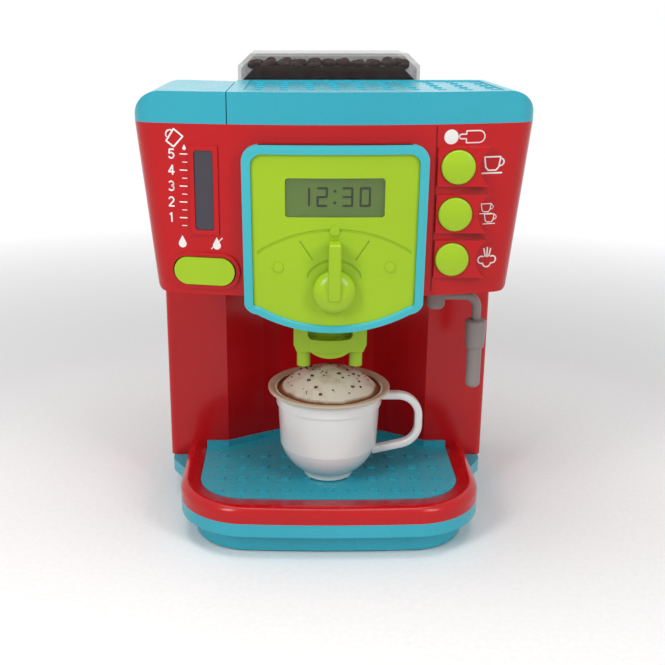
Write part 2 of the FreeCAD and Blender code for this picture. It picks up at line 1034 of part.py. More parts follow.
# Holes in the shelf for the water hose and the steam wand's pin
pocket(
    housing,
    "XY",
    [
        Circle(0, S.nozzle_y, S.hose_radius + 1),
        Circle(S.wand_x, S.wand_y, S.wand_pin_radius + S.pin_gap),
    ],
    S.head_foot - 1,
    S.head_foot + S.wall + 1,
)

# Ribs under the water tank
pad(
    housing,
    "XY",
    [
        box(S.tank_rib_x, y, S.tank_right - 1, y + S.wall)
        for y in (S.tank_rib_front, S.tank_rib_back)
    ],
    S.head_foot + S.wall / 2,
    S.tank_foot,
)

# Screw bosses beside the seam, each on a web from the side wall
SCREWS = [
    (side * S.housing_screw_x, z) for side in (-1, 1) for z in (S.low_screw_z, S.high_screw_z)
]
webs = []
for x, z in SCREWS:
    wall_x = inner + 1 if x.value > 0 else -inner - 1
    first, last = (x, wall_x) if x.value > 0 else (wall_x, x)
    webs.append(box(first, z - S.wall / 2, last, z + S.wall / 2))


def at_screws(radius):
    return [Circle(x, z, radius) for x, z in SCREWS]


boss_front = S.seam_y - S.housing_boss_deep
pad(housing, "XZ", at_screws(S.housing_boss), boss_front, S.seam_y)
pad(housing, "XZ", webs, boss_front, S.seam_y)
screw_hole = at_screws(S.screw_radius + S.screw_gap)
pocket(housing, "XZ", screw_hole, boss_front + S.wall, S.seam_y + 1)

# Rear housing: back wall with screw wells and speaker slots
rear = new_body("rear_housing")
back_corner = S.back_corner
pad(
    rear,
    "XY",
    [
        [
            (S.body_half, S.seam_y),
            (S.body_half, S.body_back, back_corner),
            (-S.body_half, S.body_back, back_corner),
            (-S.body_half, S.seam_y),
            (-inner, S.seam_y),
            (-inner, S.body_back - S.wall, back_corner - S.wall),
            (inner, S.body_back - S.wall, back_corner - S.wall),
            (inner, S.seam_y),
        ]
    ],
    S.body_foot,
    S.cap_foot,
)
boss_back = S.body_back - back_corner
pad(rear, "XZ", at_screws(S.housing_boss + 1), S.seam_y, S.body_back - S.wall)
pad(rear, "XZ", webs, S.seam_y, boss_back)
pocket(rear, "XZ", at_screws(S.screw_radius + 0.3), S.seam_y - 1, S.body_back)
slots = []
for step in range(-2, 3):
    z = S.speaker_z + step * S.grille_pitch
    slots.append(box(-S.grille_half, z - S.grille_slot / 2, S.grille_half, z + S.grille_slot / 2))
pocket(rear, "XZ", at_screws(S.screw_well), S.seam_y + S.wall + 1, S.body_back + 1)
pocket(rear, "XZ", slots, S.body_back - S.wall - 1, S.body_back + 1)


def screw(name, x, y, z, axis, shank):
    """A pan-head screw whose head ends at the point and whose shank runs on along the axis."""
    steps = {"-Y": (0, 1, 0), "Z": (0, 0, -1)}[axis]
    at = [length(v) + s * S.screw_head_high for v, s in zip((x, y, z), steps)]
    head_disc = rod(name + "_head", S.screw_head, S.screw_head_high, at[0], at[1], at[2], axis)
    shank_rod = rod(name + "_shank", S.screw_radius, shank, x, y, z, axis)
    return joined(name, head_disc, shank_rod)


screw_seat = S.seam_y + S.wall + 1
keep(
    group(
        "housing_screws",
        [
            screw(f"housing_screw_{i}", x, screw_seat, z, "-Y", S.housing_boss_deep)
            for i, (x, z) in enumerate(SCREWS)
        ],
    ),
    "housing_screws",
)

# Speaker against the back wall
keep(
    joined(
        "speaker",
        rod("speaker_rim", S.speaker_radius, 2, 0, S.body_back - S.wall, S.speaker_z, "-Y"),
        rod(
            "speaker_magnet",
            S.speaker_radius / 2,
            S.speaker_deep,
            0,
            S.body_back - S.wall,
            S.speaker_z,
            "-Y",
        ),
    ),
    "speaker",
)


def cap_block(name, inset, left, right, round_left, round_right):
    """The cap or lid as a solid: the front view's section run back, trimmed to the head's plan."""
    body = new_body(name, kept=False)
    low = S.cap_foot - (inset.value > 0)
    x0 = left + inset
    x1 = right - inset

    def section(top, shoulder):
        left_top = (x0, top, shoulder - inset) if round_left else (x0, top)
        right_top = (x1, top, shoulder - inset) if round_right else (x1, top)
        return [(x0, low), (x1, low), right_top, left_top]

    front = S.face_y - 1
    pad(body, "XZ", [section(S.cap_top - inset, S.cap_shoulder)], front, S.deck_front - inset)
    pad(
        body,
        "XZ",
        [section(S.deck_top - inset, S.deck_edge)],
        S.deck_front - inset - 1,
        S.body_back - inset,
    )
    plan = head_plan(head_top_half, inset, S.body_back - inset)
    corner = S.back_corner - inset
    plan = [
        step + (corner,) if not isinstance(step, Bulge) and index in (5, 6) else step
        for index, step in enumerate(plan)
    ]
    around = box(-head_top_half - 9, front - 9, head_top_half + 9, S.body_back + 9)
    pocket(body, "XY", [around, plan], low - 1, S.cap_top + 1)
    return body


none = length(0)
cap_left = S.lid_seam_x + S.seam_gap / 2
lid_right = S.lid_seam_x - S.seam_gap / 2
cap_outer = cap_block("cap_outer", none, cap_left, head_top_half, False, True)
pocket(
    cap_outer,
    "XY",
    [
        box(
            S.platform_left,
            S.platform_front,
            S.platform_right,
            S.platform_back,
            S.platform_corner,
        )
    ],
    S.cap_top - S.platform_sink,
    S.cap_top + 1,
)
bar = pad(
    cap_outer,
    "XY",
    [
        box(
            S.bar_first_x - S.bar_length / 2,
            S.bar_first_y - S.bar_width / 2,
            S.bar_first_x + S.bar_length / 2,
            S.bar_first_y + S.bar_width / 2,
        )
    ],
    S.cap_top - S.platform_sink - 0.2,
    S.cap_top - 0.1,
)
pattern(cap_outer, bar, S.bar_pitch_x, 10, S.bar_pitch_y, 5)
cap_core = cap_block("cap_core", S.wall, cap_left, head_top_half, False, True)
keep(cut("top_cap", cap_outer, cap_core), "top_cap")

lid_outer = cap_block("lid_outer", none, -head_top_half, lid_right, True, False)
scoop = [
    (lid_right + 1, S.deck_front + 1),
    (lid_right - S.scoop_length, S.deck_front + 1),
    (lid_right + 1, S.deck_front - S.scoop_width),
]
pocket(lid_outer, "XY", [scoop], S.cap_top - S.scoop_sink, S.cap_top + 1)
lid_core = cap_block("lid_core", S.wall, -head_top_half, lid_right, True, False)
keep(cut("tank_lid", lid_outer, lid_core), "tank_lid")


# Bean hopper: a clear cover with sloped top corners over moulded beans
def hopper_section(inset, top):
    half = S.hopper_half - inset
    return [
        (-half, S.deck_top),
        (half, S.deck_top),
        (half, top - S.hopper_chamfer_z),
        (half - S.hopper_chamfer_x, top),
        (-half + S.hopper_chamfer_x, top),
        (-half, top - S.hopper_chamfer_z),
    ]


hopper = new_body("hopper_cover")
pad(hopper, "XZ", [hopper_section(0, S.hopper_top)], S.hopper_front, S.hopper_back)
pocket(
    hopper,
    "XZ",
    [hopper_section(S.thin_wall, S.hopper_top - S.thin_wall)],
    S.hopper_front + S.thin_wall,
    S.hopper_back - S.thin_wall,
)
bean_inset = S.thin_wall + S.bean_gap
bean_side = S.hopper_half - bean_inset
bean_bed = new_body("bean_bed")
pad(
    bean_bed,
    "XZ",
    [hopper_section(bean_inset, S.bean_top - 3)],
    S.hopper_front + bean_inset,
    S.hopper_back - bean_inset,
)

# Frame of the control panel, with an apron that hangs below the head
def bezel_outline(inset):
    """The frame seen from the front: sides that draw in a little, over a bowed foot."""
    top = S.bezel_top - inset
    side_foot = S.bezel_side_foot + inset * 0.4
    turn = S.bezel_foot_half - S.bezel_foot_corner
    return [
        (-turn, side_foot - S.bezel_foot_corner * 0.75),
        Bulge(S.bezel_sag_radius - inset),
        (turn, side_foot - S.bezel_foot_corner * 0.75),
        Bulge(S.bezel_foot_corner + 1),
        (S.bezel_foot_half - inset, side_foot),
        (S.bezel_half - inset, top, S.bezel_corner - inset * 0.6),
        (-S.bezel_half + inset, top, S.bezel_corner - inset * 0.6),
        (-S.bezel_foot_half + inset, side_foot),
        Bulge(S.bezel_foot_corner + 1),
    ]


BEZEL_LOW = S.bezel_side_foot - 26
bezel = new_body("control_bezel")
wide = S.bezel_half + 1
pad(
    bezel,
    "XY",
    [face_band(-wide, wide, S.snug_gap, S.bezel_rise)],
    BEZEL_LOW,
    S.bezel_top + 1,
)
pad(
    bezel,
    "XY",
    [face_band(-wide, wide, -S.apron_depth, S.bezel_rise)],
    BEZEL_LOW,
    S.head_foot - S.snug_gap,
)
around = box(-head_top_half, BEZEL_LOW - 9, head_top_half, S.cap_foot)
pocket(bezel, "XZ", [around, bezel_outline(length(0))], S.face_y - FAR, S.face_y + FAR)
panel_room = bezel_outline(S.bezel_frame)
pocket(bezel, "XZ", [panel_room], S.face_y - FAR, S.face_y + S.apron_depth - S.wall)


# Lime panel: a core and a thin skin that carries the moulded fan, ring and ticks
def panel_layer(name, back_rise, front_rise):
    body = new_body(name, kept=False)
    pad(body, "XY", [face_band(-wide, wide, back_rise, front_rise)], BEZEL_LOW, S.bezel_top)
    outline = bezel_outline(S.bezel_frame + S.snug_gap)
    pocket(body, "XZ", [around, outline], S.face_y - FAR, S.face_y + FAR)
    pocket(
        body,
        "XZ",
        [
            box(
                -S.display_half,
                S.display_foot,
                S.display_half,
                S.display_top,
                S.display_corner,
            ),
            Circle(0, S.knob_z, S.shaft_radius + S.pin_gap),
        ],
        S.face_y - FAR,
        S.face_y + FAR,
    )
    return body


skin_back = S.panel_rise - S.panel_skin
core = panel_layer("panel_core", S.panel_rise - S.panel_thick, skin_back)
skin = panel_layer("panel_skin_layer", skin_back, S.panel_rise)


def fan_strip(radius, width, centre_z, half_x):
    """A strip of an arc about a point on the centre line, between two sides."""
    outer = radius + width / 2
    inside = radius - width / 2

    def z(r):
        return centre_z + root(r * r - half_x * half_x)

    return [
        (-half_x, z(inside)),
        Bulge(inside, left=True),
        (half_x, z(inside)),
        (half_x, z(outer)),
        Bulge(outer),
        (-half_x, z(outer)),
    ]


def tick(angle):
    """A short radial line about the knob, at an angle from upright."""
    sine = math.sin(math.radians(angle))
    cosine = math.cos(math.radians(angle))
    side = S.tick_width / 2
    corners = []
    for r, s in ((S.tick_inner, -1), (S.tick_outer, -1), (S.tick_outer, 1), (S.tick_inner, 1)):
        x = r * sine + s * side * cosine
        z = S.knob_z + r * cosine - s * side * sine
        corners.append((x, z))
    return corners


fan_centre = S.knob_z - S.fan_drop
marks = [
    fan_strip(S.fan_radius, S.fan_width, fan_centre, S.bezel_half - 8),
    fan_strip(S.ring_radius, S.ring_width, S.knob_z, S.ring_radius - 2),
    tick(-SIZES["tick_angle"]),
    tick(SIZES["tick_angle"]),
]
pocket(skin, "XZ", marks, S.face_y - FAR, S.face_y + FAR)

bumps = []
for index, angle in enumerate((-SIZES["mark_angle"], 0, SIZES["mark_angle"])):
    x = S.mark_radius * math.sin(math.radians(angle))
    z = S.knob_z + S.mark_radius * math.cos(math.radians(angle))
    surface = face_y(x, S.panel_rise)
    bumps.append(rod(f"bump_{index}", S.mark_size, 2, x, surface + 1.2, z, "-Y"))
post_x = S.opening_half - 8
posts = []
for index, (x, z) in enumerate(
    ((-post_x, 172), (post_x, 172), (-post_x, 226), (post_x, 226)), start=1
):
    back = face_y(x, S.panel_rise - 1)
    posts.append(rod(f"panel_post_{index}", S.post_radius, S.board_y - back, x, back, z, "Y"))
keep(joined("control_panel", core, skin, *bumps, *posts), "control_panel")

# Display: a lens in the panel's window over the display module
lens = new_body("display_lens")
gap = S.snug_gap
pad(
    lens,
    "XY",
    [
        face_band(
            -S.display_half + gap,
            S.display_half - gap,
            S.panel_rise - S.lens_sink - S.lens_thick,
            S.panel_rise - S.lens_sink,
        )
    ],
    S.display_foot + gap,
    S.display_top - gap,
)
lens_edge = box(
    -S.display_half + gap,
    S.display_foot + gap,
    S.display_half - gap,
    S.display_top - gap,
    S.display_corner,
)
pocket(lens, "XZ", [around, lens_edge], S.face_y - FAR, S.face_y + FAR)
module_front = face_y(0, S.panel_rise - S.panel_thick) + 1.2
keep(
    joined(
        "display_module",
        block(
            "display_glass",
            -S.display_half - 1.5,
            module_front,
            S.display_foot - 1.5,
            S.display_half + 1.5,
            module_front + 3,
            S.display_top + 1.5,
        ),
        block(
            "display_back",
            -S.display_half + 4,
            module_front + 3,
            S.display_foot + 3,
            S.display_half - 4,
            S.board_y,
            S.display_top - 3,
        ),
    ),
    "display_module",
)
keep(
    block(
        "circuit_board",
        -S.opening_half + 4,
        S.board_y,
        168,
        S.opening_half - 4,
        S.board_y + S.board_thick,
        230,
    ),
    "circuit_board",
)

# Selector switch behind the panel
selector_front = face_y(0, S.panel_rise - S.panel_thick) + 0.5
switch_body = rod(
    "switch_body", S.switch_radius, S.switch_deep, 0, selector_front, S.knob_z, "Y"
)
switch_bore = rod(
    "switch_bore",
    S.shaft_radius + S.pin_gap,
    S.switch_deep - 1.5,
    0,
    selector_front - 0.1,
    S.knob_z,
    "Y",
)
keep(cut("rotary_switch", switch_body, switch_bore), "rotary_switch")

# Selector knob: a round skirt, a raised pointer bar and the shaft, on a local Z that faces front
knob = new_body("selector_knob")
knob_seat = face_y(0, S.panel_rise) - S.knob_gap
skirt = pad(knob, "XY", [Circle(0, 0, S.knob_radius)], 0, S.knob_skirt)
bar_half = S.pointer_width / 2
pointer_tail = S.knob_radius - 1
pointer = pad(
    knob,
    "XY",
    [Pill(0, (S.pointer_reach - pointer_tail) / 2, (S.pointer_reach + pointer_tail) / 2, bar_half, True)],
    1.5,
    S.pointer_proud,
)
pad(knob, "XY", [Circle(0, 0, S.shaft_radius)], -S.shaft_length - S.knob_gap, 0.5)
put(knob, 0, knob_seat, S.knob_z, FACE_FRONT)


# Push buttons with their boards and rubber domes
def push_button(name, x, z):
    body = new_body("button_" + name)
    reach = S.pad_inner_y - S.pad_y + S.button_proud
    radius = S.button_radius
    dome = S.button_dome
    turned(
        body,
        [
            (0, -S.flange_thick - S.fit_gap - S.stem_length),
            (S.stem_radius, -S.flange_thick - S.fit_gap - S.stem_length),
            (S.stem_radius, -S.flange_thick - S.fit_gap),
            (radius + S.flange_extra, -S.flange_thick - S.fit_gap),
            (radius + S.flange_extra, -S.fit_gap),
            (radius, -S.fit_gap),
            (radius, reach - dome),
            Bulge((radius * radius + dome * dome) / (2 * dome)),
            (0, reach),
        ],
    )
    return put(body, x, S.pad_inner_y, z, FACE_FRONT)


for name, (x, z) in BUTTONS.items():
    push_button(name, x, z)
    dome_foot = S.button_board_y
    stem_back = S.pad_inner_y + S.flange_thick + S.fit_gap + S.stem_length
    rise = dome_foot - stem_back - S.fit_gap
    dome = new_body("dome_" + name)
    turned(
        dome,
        [
            (0, rise - 1.2),
            (S.dome_radius - 2.4, rise - 1.2),
            (S.dome_radius - 1.2, 0),
            (S.dome_radius, 0),
            (S.dome_radius - 1.5, rise),
            (0, rise),
        ],
    )
    put(dome, x, dome_foot, z, FACE_FRONT)
keep(
    block(
        "button_board",
        S.pad_left - 1.5,
        S.button_board_y,
        S.low_button_z - 8,
        S.pad_left + 25,
        S.button_board_y + S.board_thick,
        S.top_button_z + 8,
    ),
    "button_board",
)

# Level window: a dark lens whose flange sits behind the wall
window = new_body("level_window")
pad(
    window,
    "XY",
    [
        face_band(
            S.window_left + gap, S.window_right - gap, -S.wall - S.snug_gap, S.window_rise - 0.6
        )
    ],
    S.window_foot + gap,
    S.window_top - gap,
)
window_edge = box(
    S.window_left + gap,
    S.window_foot + gap,
    S.window_right - gap,
    S.window_top - gap,
    S.display_corner,
)
pocket(window, "XZ", [around, window_edge], S.face_y - FAR, S.face_y + FAR)
pad(
    window,
    "XY",
    [
        face_band(
            S.window_left - S.window_flange,
            S.window_right + S.window_flange,
            -S.wall - S.snug_gap - 1.5,
            -S.wall - S.snug_gap,
        )
    ],
    S.window_foot - S.window_flange,
    S.window_top + S.window_flange,
)

# Pump rocker: a wide pill that tilts about an upright pin
rocker = new_body("pump_rocker")
pad(
    rocker,
    "XZ",
    [Pill(S.rocker_x, S.rocker_z, S.rocker_half, S.rocker_high)],
    S.face_y - 6,
    S.rocker_back_y,
)
pocket(
    rocker,
    "XY",
    [
        [
            (trim_left, S.face_y - FAR),
            (trim_right, S.face_y - FAR),
            (trim_right, face_y(trim_right, S.rocker_rise)),
            Bulge(S.face_radius + S.rocker_rise, left=True),
            (trim_left, face_y(trim_left, S.rocker_rise)),
        ]
    ],
    S.rocker_z - rim_high - 1,
    S.rocker_z + rim_high + 1,
)
pad(
    rocker,
    "XY",
    [Circle(S.rocker_x, S.rocker_axis_y, S.rocker_pin)],
    S.rocker_z - pin_reach,
    S.rocker_z + pin_reach,
)
plunger_y = S.rocker_back_y + S.rocker_throw
keep(
    joined(
        "rocker_switches",
        block(
            "rocker_board",
            S.rocker_x - 15,
            S.rocker_board_y,
            S.rocker_z - 5,
            S.rocker_x + 15,
            S.rocker_board_y + S.board_thick,
            board_post_z + 3,
        ),
        rod("plunger_left", 2, S.rocker_board_y - plunger_y, S.rocker_x - 11, plunger_y, S.rocker_z, "Y"),
        rod("plunger_right", 2, S.rocker_board_y - plunger_y, S.rocker_x + 11, plunger_y, S.rocker_z, "Y"),
    ),
    "rocker_switches",
)

# Spout: two posts joined by a curved bar, with a recess between them and a nozzle on each
spout = new_body("spout")
pad(
    spout,
    "XZ",
    [
        [
            (-S.spout_half, S.head_foot),
            (-S.spout_half, S.spout_shoulder_z),
            (-S.spout_foot_half, S.spout_foot),
            (-S.nozzle_x + S.nozzle_radius, S.spout_foot),
            Bulge(18),
            (S.nozzle_x - S.nozzle_radius, S.spout_foot),
            (S.spout_foot_half, S.spout_foot),
            (S.spout_half, S.spout_shoulder_z),
            (S.spout_half, S.head_foot),
        ]
    ],
    S.spout_front,
    S.spout_back,
)
bow_half = S.nozzle_x - S.nozzle_radius
bow_radius = (bow_half * bow_half + S.spout_bow * S.spout_bow) / (2 * S.spout_bow)
pad(
    spout,
    "XY",
    [
        [
            (-bow_half, S.spout_front + 0.5),
            Bulge(bow_radius),
            (bow_half, S.spout_front + 0.5),
            (bow_half, S.spout_back - 1),
            (-bow_half, S.spout_back - 1),
        ]
    ],
    S.spout_foot,
    S.spout_recess_foot,
)
pocket(
    spout,
    "XZ",
    [
        box(
            -S.spout_recess_half,
            S.spout_recess_foot,
            S.spout_recess_half,
            S.spout_recess_top,
            3,
        )
    ],
    S.spout_front - 9,
    S.spout_front + S.spout_recess_deep,
)
nozzles = [Circle(side * S.nozzle_x, S.nozzle_y, S.nozzle_radius) for side in (-1, 1)]
pad(spout, "XY", nozzles, S.nozzle_foot, S.spout_foot + 1)
bores = [Circle(side * S.nozzle_x, S.nozzle_y, S.nozzle_bore) for side in (-1, 1)]
pocket(spout, "XY", bores, S.nozzle_foot - 1, S.spout_foot + 4)

# Steam wand: a turning cap with a bent arm, a collar and a round-ended nozzle
wand = new_body("wand_arm")
cap_round = S.wand_cap_radius * 0.6
cap_face = S.head_foot - S.snug_gap
turned(
    wand,
    [
        (0, S.wand_cap_foot),
        (S.wand_cap_radius - cap_round * 0.5, S.wand_cap_foot),
        Bulge(cap_round),
        (S.wand_cap_radius, S.wand_cap_foot + cap_round * 0.8),
        (S.wand_cap_radius, cap_face),
        (S.wand_pin_radius, cap_face),
        (S.wand_pin_radius, S.head_foot + S.wall + S.fit_gap + S.clip_thick),
        (0, S.head_foot + S.wall + S.fit_gap + S.clip_thick),
    ],
)
arm_start = sketch_on(wand, "YZ", [Circle(0, S.wand_arm_z, S.wand_arm_radius)], S.wand_cap_radius - 2)
path = wand.newObject("Sketcher::SketchObject", "path")
path.AttachmentSupport = (
    [o for o in wand.Origin.OriginFeatures if o.Role == "XZ_Plane"][0],
    [""],
)
path.MapMode = "FlatFace"
way = Drawing(path)
bend_x = S.wand_reach - S.wand_bend
bend_z = S.wand_arm_z - S.wand_bend
first = way.add(
    Part.LineSegment(
        Vector((S.wand_cap_radius - 2).value, S.wand_arm_z.value, 0),
        Vector(bend_x.value, S.wand_arm_z.value, 0),
    )
)
turn = way.add(
    Part.ArcOfCircle(
        Part.Circle(Vector(bend_x.value, bend_z.value, 0), Vector(0, 0, 1), S.wand_bend.value),
        0,
        math.pi / 2,
    )
)
last = way.add(
    Part.LineSegment(
        Vector(S.wand_reach.value, bend_z.value, 0),
        Vector(S.wand_reach.value, S.collar_top.value, 0),
    )
)
way.rule("Tangent", first, 2, turn, 2)
way.rule("Tangent", turn, 1, last, 1)
way.place(first, 1, S.wand_cap_radius - 2, S.wand_arm_z)
way.place(turn, 3, bend_x, bend_z)
way.size("Radius", turn, S.wand_bend)
way.place(last, 2, S.wand_reach, S.collar_top)
way.finish()
tube = wand.newObject("PartDesign::AdditivePipe", "tube")
tube.Profile = arm_start
tube.Spine = path
tube.Transition = "Transformed"
put(wand, S.wand_x, S.wand_y, 0)

collar = new_body("wand_collar")
turned(
    collar,
    [
        (0, S.collar_foot),
        (S.collar_foot_radius - 0.8, S.collar_foot),
        (S.collar_foot_radius, S.collar_foot + 1.2),
        (S.collar_top_radius, S.collar_top - 0.8),
        (S.collar_top_radius - 0.8, S.collar_top),
        (0, S.collar_top),
    ],
)
put(collar, S.wand_x + S.wand_reach, S.wand_y, 0)
tip = new_body("wand_nozzle")
tip_round = S.wand_nozzle_radius * 0.7
turned(
    tip,
    [
        (0, S.wand_foot),
        (S.wand_nozzle_radius - tip_round, S.wand_foot),
        Bulge(tip_round),
        (S.wand_nozzle_radius, S.wand_foot + tip_round),
        (S.wand_nozzle_radius, S.collar_foot),
        (0, S.collar_foot),
    ],
)
put(tip, S.wand_x + S.wand_reach, S.wand_y, 0)
clip_foot = S.head_foot + S.wall + S.fit_gap
keep(
    cut(
        "wand_clip",
        rod("clip_disc", S.clip_radius, S.clip_thick, S.wand_x, S.wand_y, clip_foot),
        rod("clip_hole", S.wand_pin_radius + S.pin_gap, S.clip_thick + 2, S.wand_x, S.wand_y, clip_foot - 1),
    ),
    "wand_clip",
)

# Base: an upper band over a set-back step, hollow, with screw bosses
base = new_body("base_shell")
pad(base, "XY", [base_plan(none)], S.band_foot, S.body_foot)
pad(base, "XY", [base_plan(S.step_inset)], S.rim_foot, S.band_foot + 1)
pocket(base, "XY", [base_plan(S.step_inset + S.wall)], none, S.band_foot + S.wall)
pocket(base, "XY", [base_plan(S.wall)], S.band_foot + S.wall, S.body_foot - S.base_roof)
plate_top = S.plate_foot + S.wall
front_boss_x = S.base_half - S.front_boss_inset
rear_boss_x = S.base_rear_half - S.rear_boss_inset
BOSSES = [
    (side * x, y)
    for x, y in ((front_boss_x, S.front_boss_y), (rear_boss_x, S.rear_boss_y))
    for side in (-1, 1)
]
bosses = [Circle(x, y, S.boss_radius) for x, y in BOSSES]
bosses += [Circle(x, y, S.screw_radius + S.screw_gap) for x, y in BOSSES]
pad(base, "XY", bosses, plate_top, S.body_foot - S.base_roof + 0.5)

# Bottom plate with four feet and the battery well
plate = new_body("bottom_plate")
plate_inset = S.step_inset + S.wall + S.fit_gap
pad(plate, "XY", [base_plan(plate_inset)], S.plate_foot, plate_top)
FEET = [
    (side * x, y)
    for x, y in ((S.front_foot_x, S.front_foot_y), (S.rear_foot_x, S.rear_foot_y))
    for side in (-1, 1)
]
pad(plate, "XY", [Circle(x, y, S.foot_radius) for x, y in FEET], 0, S.plate_foot + 0.5)
door_half = S.well_half + S.door_lap
door_front = S.well_front - S.door_lap
door_back = S.well_back + S.door_tab
flange_top = plate_top + S.wall
well_top = S.body_foot - S.base_roof - 0.2
lip = S.wall + 1
pad(
    plate,
    "XY",
    [box(-door_half - lip, door_front - lip, door_half + lip, door_back + lip)],
    plate_top - 0.5,
    flange_top,
)
pad(
    plate,
    "XY",
    [
        box(
            -S.well_half - S.thin_wall,
            S.well_front - S.thin_wall,
            S.well_half + S.thin_wall,
            S.well_back + S.thin_wall,
        )
    ],
    flange_top - 0.5,
    well_top,
)
pad(plate, "XY", [Circle(0, door_back - S.door_tab / 2 + 0.5, S.boss_radius)], flange_top - 0.5, flange_top + 6)
pocket(
    plate,
    "XY",
    [box(-S.well_half, S.well_front, S.well_half, S.well_back)],
    S.plate_foot,
    well_top - S.well_roof,
)
door_gap = S.fit_gap
pocket(
    plate,
    "XY",
    [box(-door_half - door_gap, door_front - door_gap, door_half + door_gap, door_back + door_gap)],
    none,
    plate_top,
)
door_screw_y = door_back - S.door_tab / 2 + 0.5
pocket(
    plate,
    "XY",
    [Circle(0, door_screw_y, S.screw_radius + S.screw_gap)],
    plate_top - 0.5,
    flange_top + 5,
)
plate_holes = [Circle(x, y, S.screw_radius + S.fit_gap) for x, y in BOSSES]
pocket(plate, "XY", plate_holes, none, plate_top + 1)
keep(
    group(
        "base_screws",
        [
            screw(f"base_screw_{i}", x, y, S.plate_foot - 0.01, "Z", S.wall + 10)
            for i, (x, y) in enumerate(BOSSES)
        ],
    ),
    "base_screws",
)

# Battery door, its screw, the cells and their contacts
door = new_body("battery_door")
pad(door, "XY", [box(-door_half, door_front, door_half, door_back)], S.plate_foot, plate_top)
pocket(door, "XY", [Circle(0, door_screw_y, S.screw_radius + S.fit_gap)], none, plate_top + 1)
head_sink = S.plate_foot + S.screw_head_high + 0.1
pocket(door, "XY", [Circle(0, door_screw_y, S.screw_head + S.fit_gap)], none, head_sink)
keep(screw("door_screw", 0, door_screw_y, head_sink, "Z", 7), "door_screw")

cell_z = plate_top + S.snug_gap + S.cell_radius
cell_front = (S.well_front + S.well_back - S.cell_length) / 2
cell_pitch = S.cell_radius * 2 + 0.7
keep(
    group(
        "battery_cells",
        [
            rod(f"cell_{i}", S.cell_radius, S.cell_length, i * cell_pitch, cell_front, cell_z, "Y")
            for i in (-1, 0, 1)
        ],
    ),
    "battery_cells",
)
contact_long = cell_front - S.well_front - S.snug_gap
contacts = []
for i in (-1, 0, 1):
    x = i * cell_pitch
    name = f"contact_{i + 1}"
    contacts.append(rod(name + "_front", S.contact_radius, contact_long, x, S.well_front, cell_z, "Y"))
    contacts.append(rod(name + "_back", S.contact_radius, contact_long, x, S.well_back, cell_z, "-Y"))
keep(group("battery_contacts", contacts), "battery_contacts")

# Ring round the drip tray: a crest that slopes in to the tray
ring = new_body("tray_surround")
body_front = S.body_front
ring_block = pad(
    ring,
    "XY",
    [ring_plan(S.base_half, S.base_front, S.base_corner, body_front)],
    S.body_foot,
    S.ring_top,
)
fillet(
    ring,
    ring_block,
    lambda b: b.ZMin > S.ring_top.value - 0.1 and b.YMin < body_front.value - 1,
    S.ring_edge,
)
crest = S.ring_crest_inset
tray_gap = S.fit_gap
well_half = S.tray_half + tray_gap
well_front = S.tray_front - tray_gap
loft(
    ring,
    "SubtractiveLoft",
    [
        (
            S.tray_floor - 0.4,
            ring_plan(well_half, well_front, S.tray_corner + tray_gap, body_front + 5),
        ),
        (
            S.ring_top + 0.01,
            ring_plan(S.base_half - crest, S.base_front + crest, S.base_corner - crest, body_front + 5),
        ),
    ],
)
pocket(
    ring,
    "XY",
    [ring_plan(well_half, well_front, S.tray_corner + tray_gap, body_front + 5)],
    S.body_foot - 1,
    S.tray_floor,
)


# Drip tray: a dimpled plate on a skirt, with a lip at the back that follows the body
def tray_plan(inset, gap_y):
    half = S.tray_half - inset
    turn = S.tray_half - S.tray_corner
    front = S.tray_front + inset
    side_y = S.tray_front + S.tray_corner
    corner = S.tray_corner - inset
    back = recess_line(gap_y)
    return (
        [(-turn, front), Bulge(S.base_bow), (turn, front), Bulge(corner), (half, side_y)]
        + [(half, S.body_front - gap_y)]
        + back
        + [(-half, S.body_front - gap_y), (-half, side_y), Bulge(corner)]
    )


tray = new_body("drip_tray")
pad(tray, "XY", [tray_plan(none, S.fit_gap)], S.body_foot, S.tray_floor)
pocket(
    tray,
    "XY",
    [tray_plan(S.tray_shell, S.fit_gap + S.tray_shell)],
    S.body_foot,
    S.tray_floor - S.tray_shell,
)
lip_back = recess_line(S.fit_gap)
lip_front = back_along(recess_line(S.fit_gap + S.tray_lip_thick))
pad(
    tray,
    "XY",
    [
        [(S.tray_half, S.body_front - S.fit_gap)]
        + lip_back
        + [(-S.tray_half, S.body_front - S.fit_gap)]
        + [(-S.tray_half, S.body_front - S.fit_gap - S.tray_lip_thick)]
        + lip_front
        + [(S.tray_half, S.body_front - S.fit_gap - S.tray_lip_thick)]
    ],
    S.tray_floor - 0.5,
    S.tray_lip,
)
dimple = pad(
    tray,
    "XY",
    [Pill(-5 * S.dimple_pitch_x, S.dimple_first_y, S.dimple_long / 2, S.dimple_wide / 2)],
    S.tray_floor - 0.3,
    S.tray_floor + S.dimple_height,
)
pattern(tray, dimple, S.dimple_pitch_x, 11, S.dimple_pitch_y, 4)

# Water tank with its outlet, standing on the ribs
tank = new_body("water_tank")
pad(
    tank,
    "XY",
    [box(S.tank_left, S.tank_front, S.tank_right, S.tank_back, S.tank_corner)],
    S.tank_foot,
    S.tank_top,
)
pad(tank, "XY", [Circle(S.nipple_x, S.nipple_y, S.hose_radius)], S.tank_foot - S.nipple_length, S.tank_foot + 0.5)
inside = S.thin_wall
pocket(
    tank,
    "XY",
    [
        box(
            S.tank_left + inside,
            S.tank_front + inside,
            S.tank_right - inside,
            S.tank_back - inside,
            S.tank_corner - inside,
        )
    ],
    S.tank_foot + inside,
    S.tank_top + 1,
)
pocket(tank, "XY", [Circle(S.nipple_x, S.nipple_y, S.hose_bore)], S.tank_foot - S.nipple_length - 1, S.tank_foot + 3)

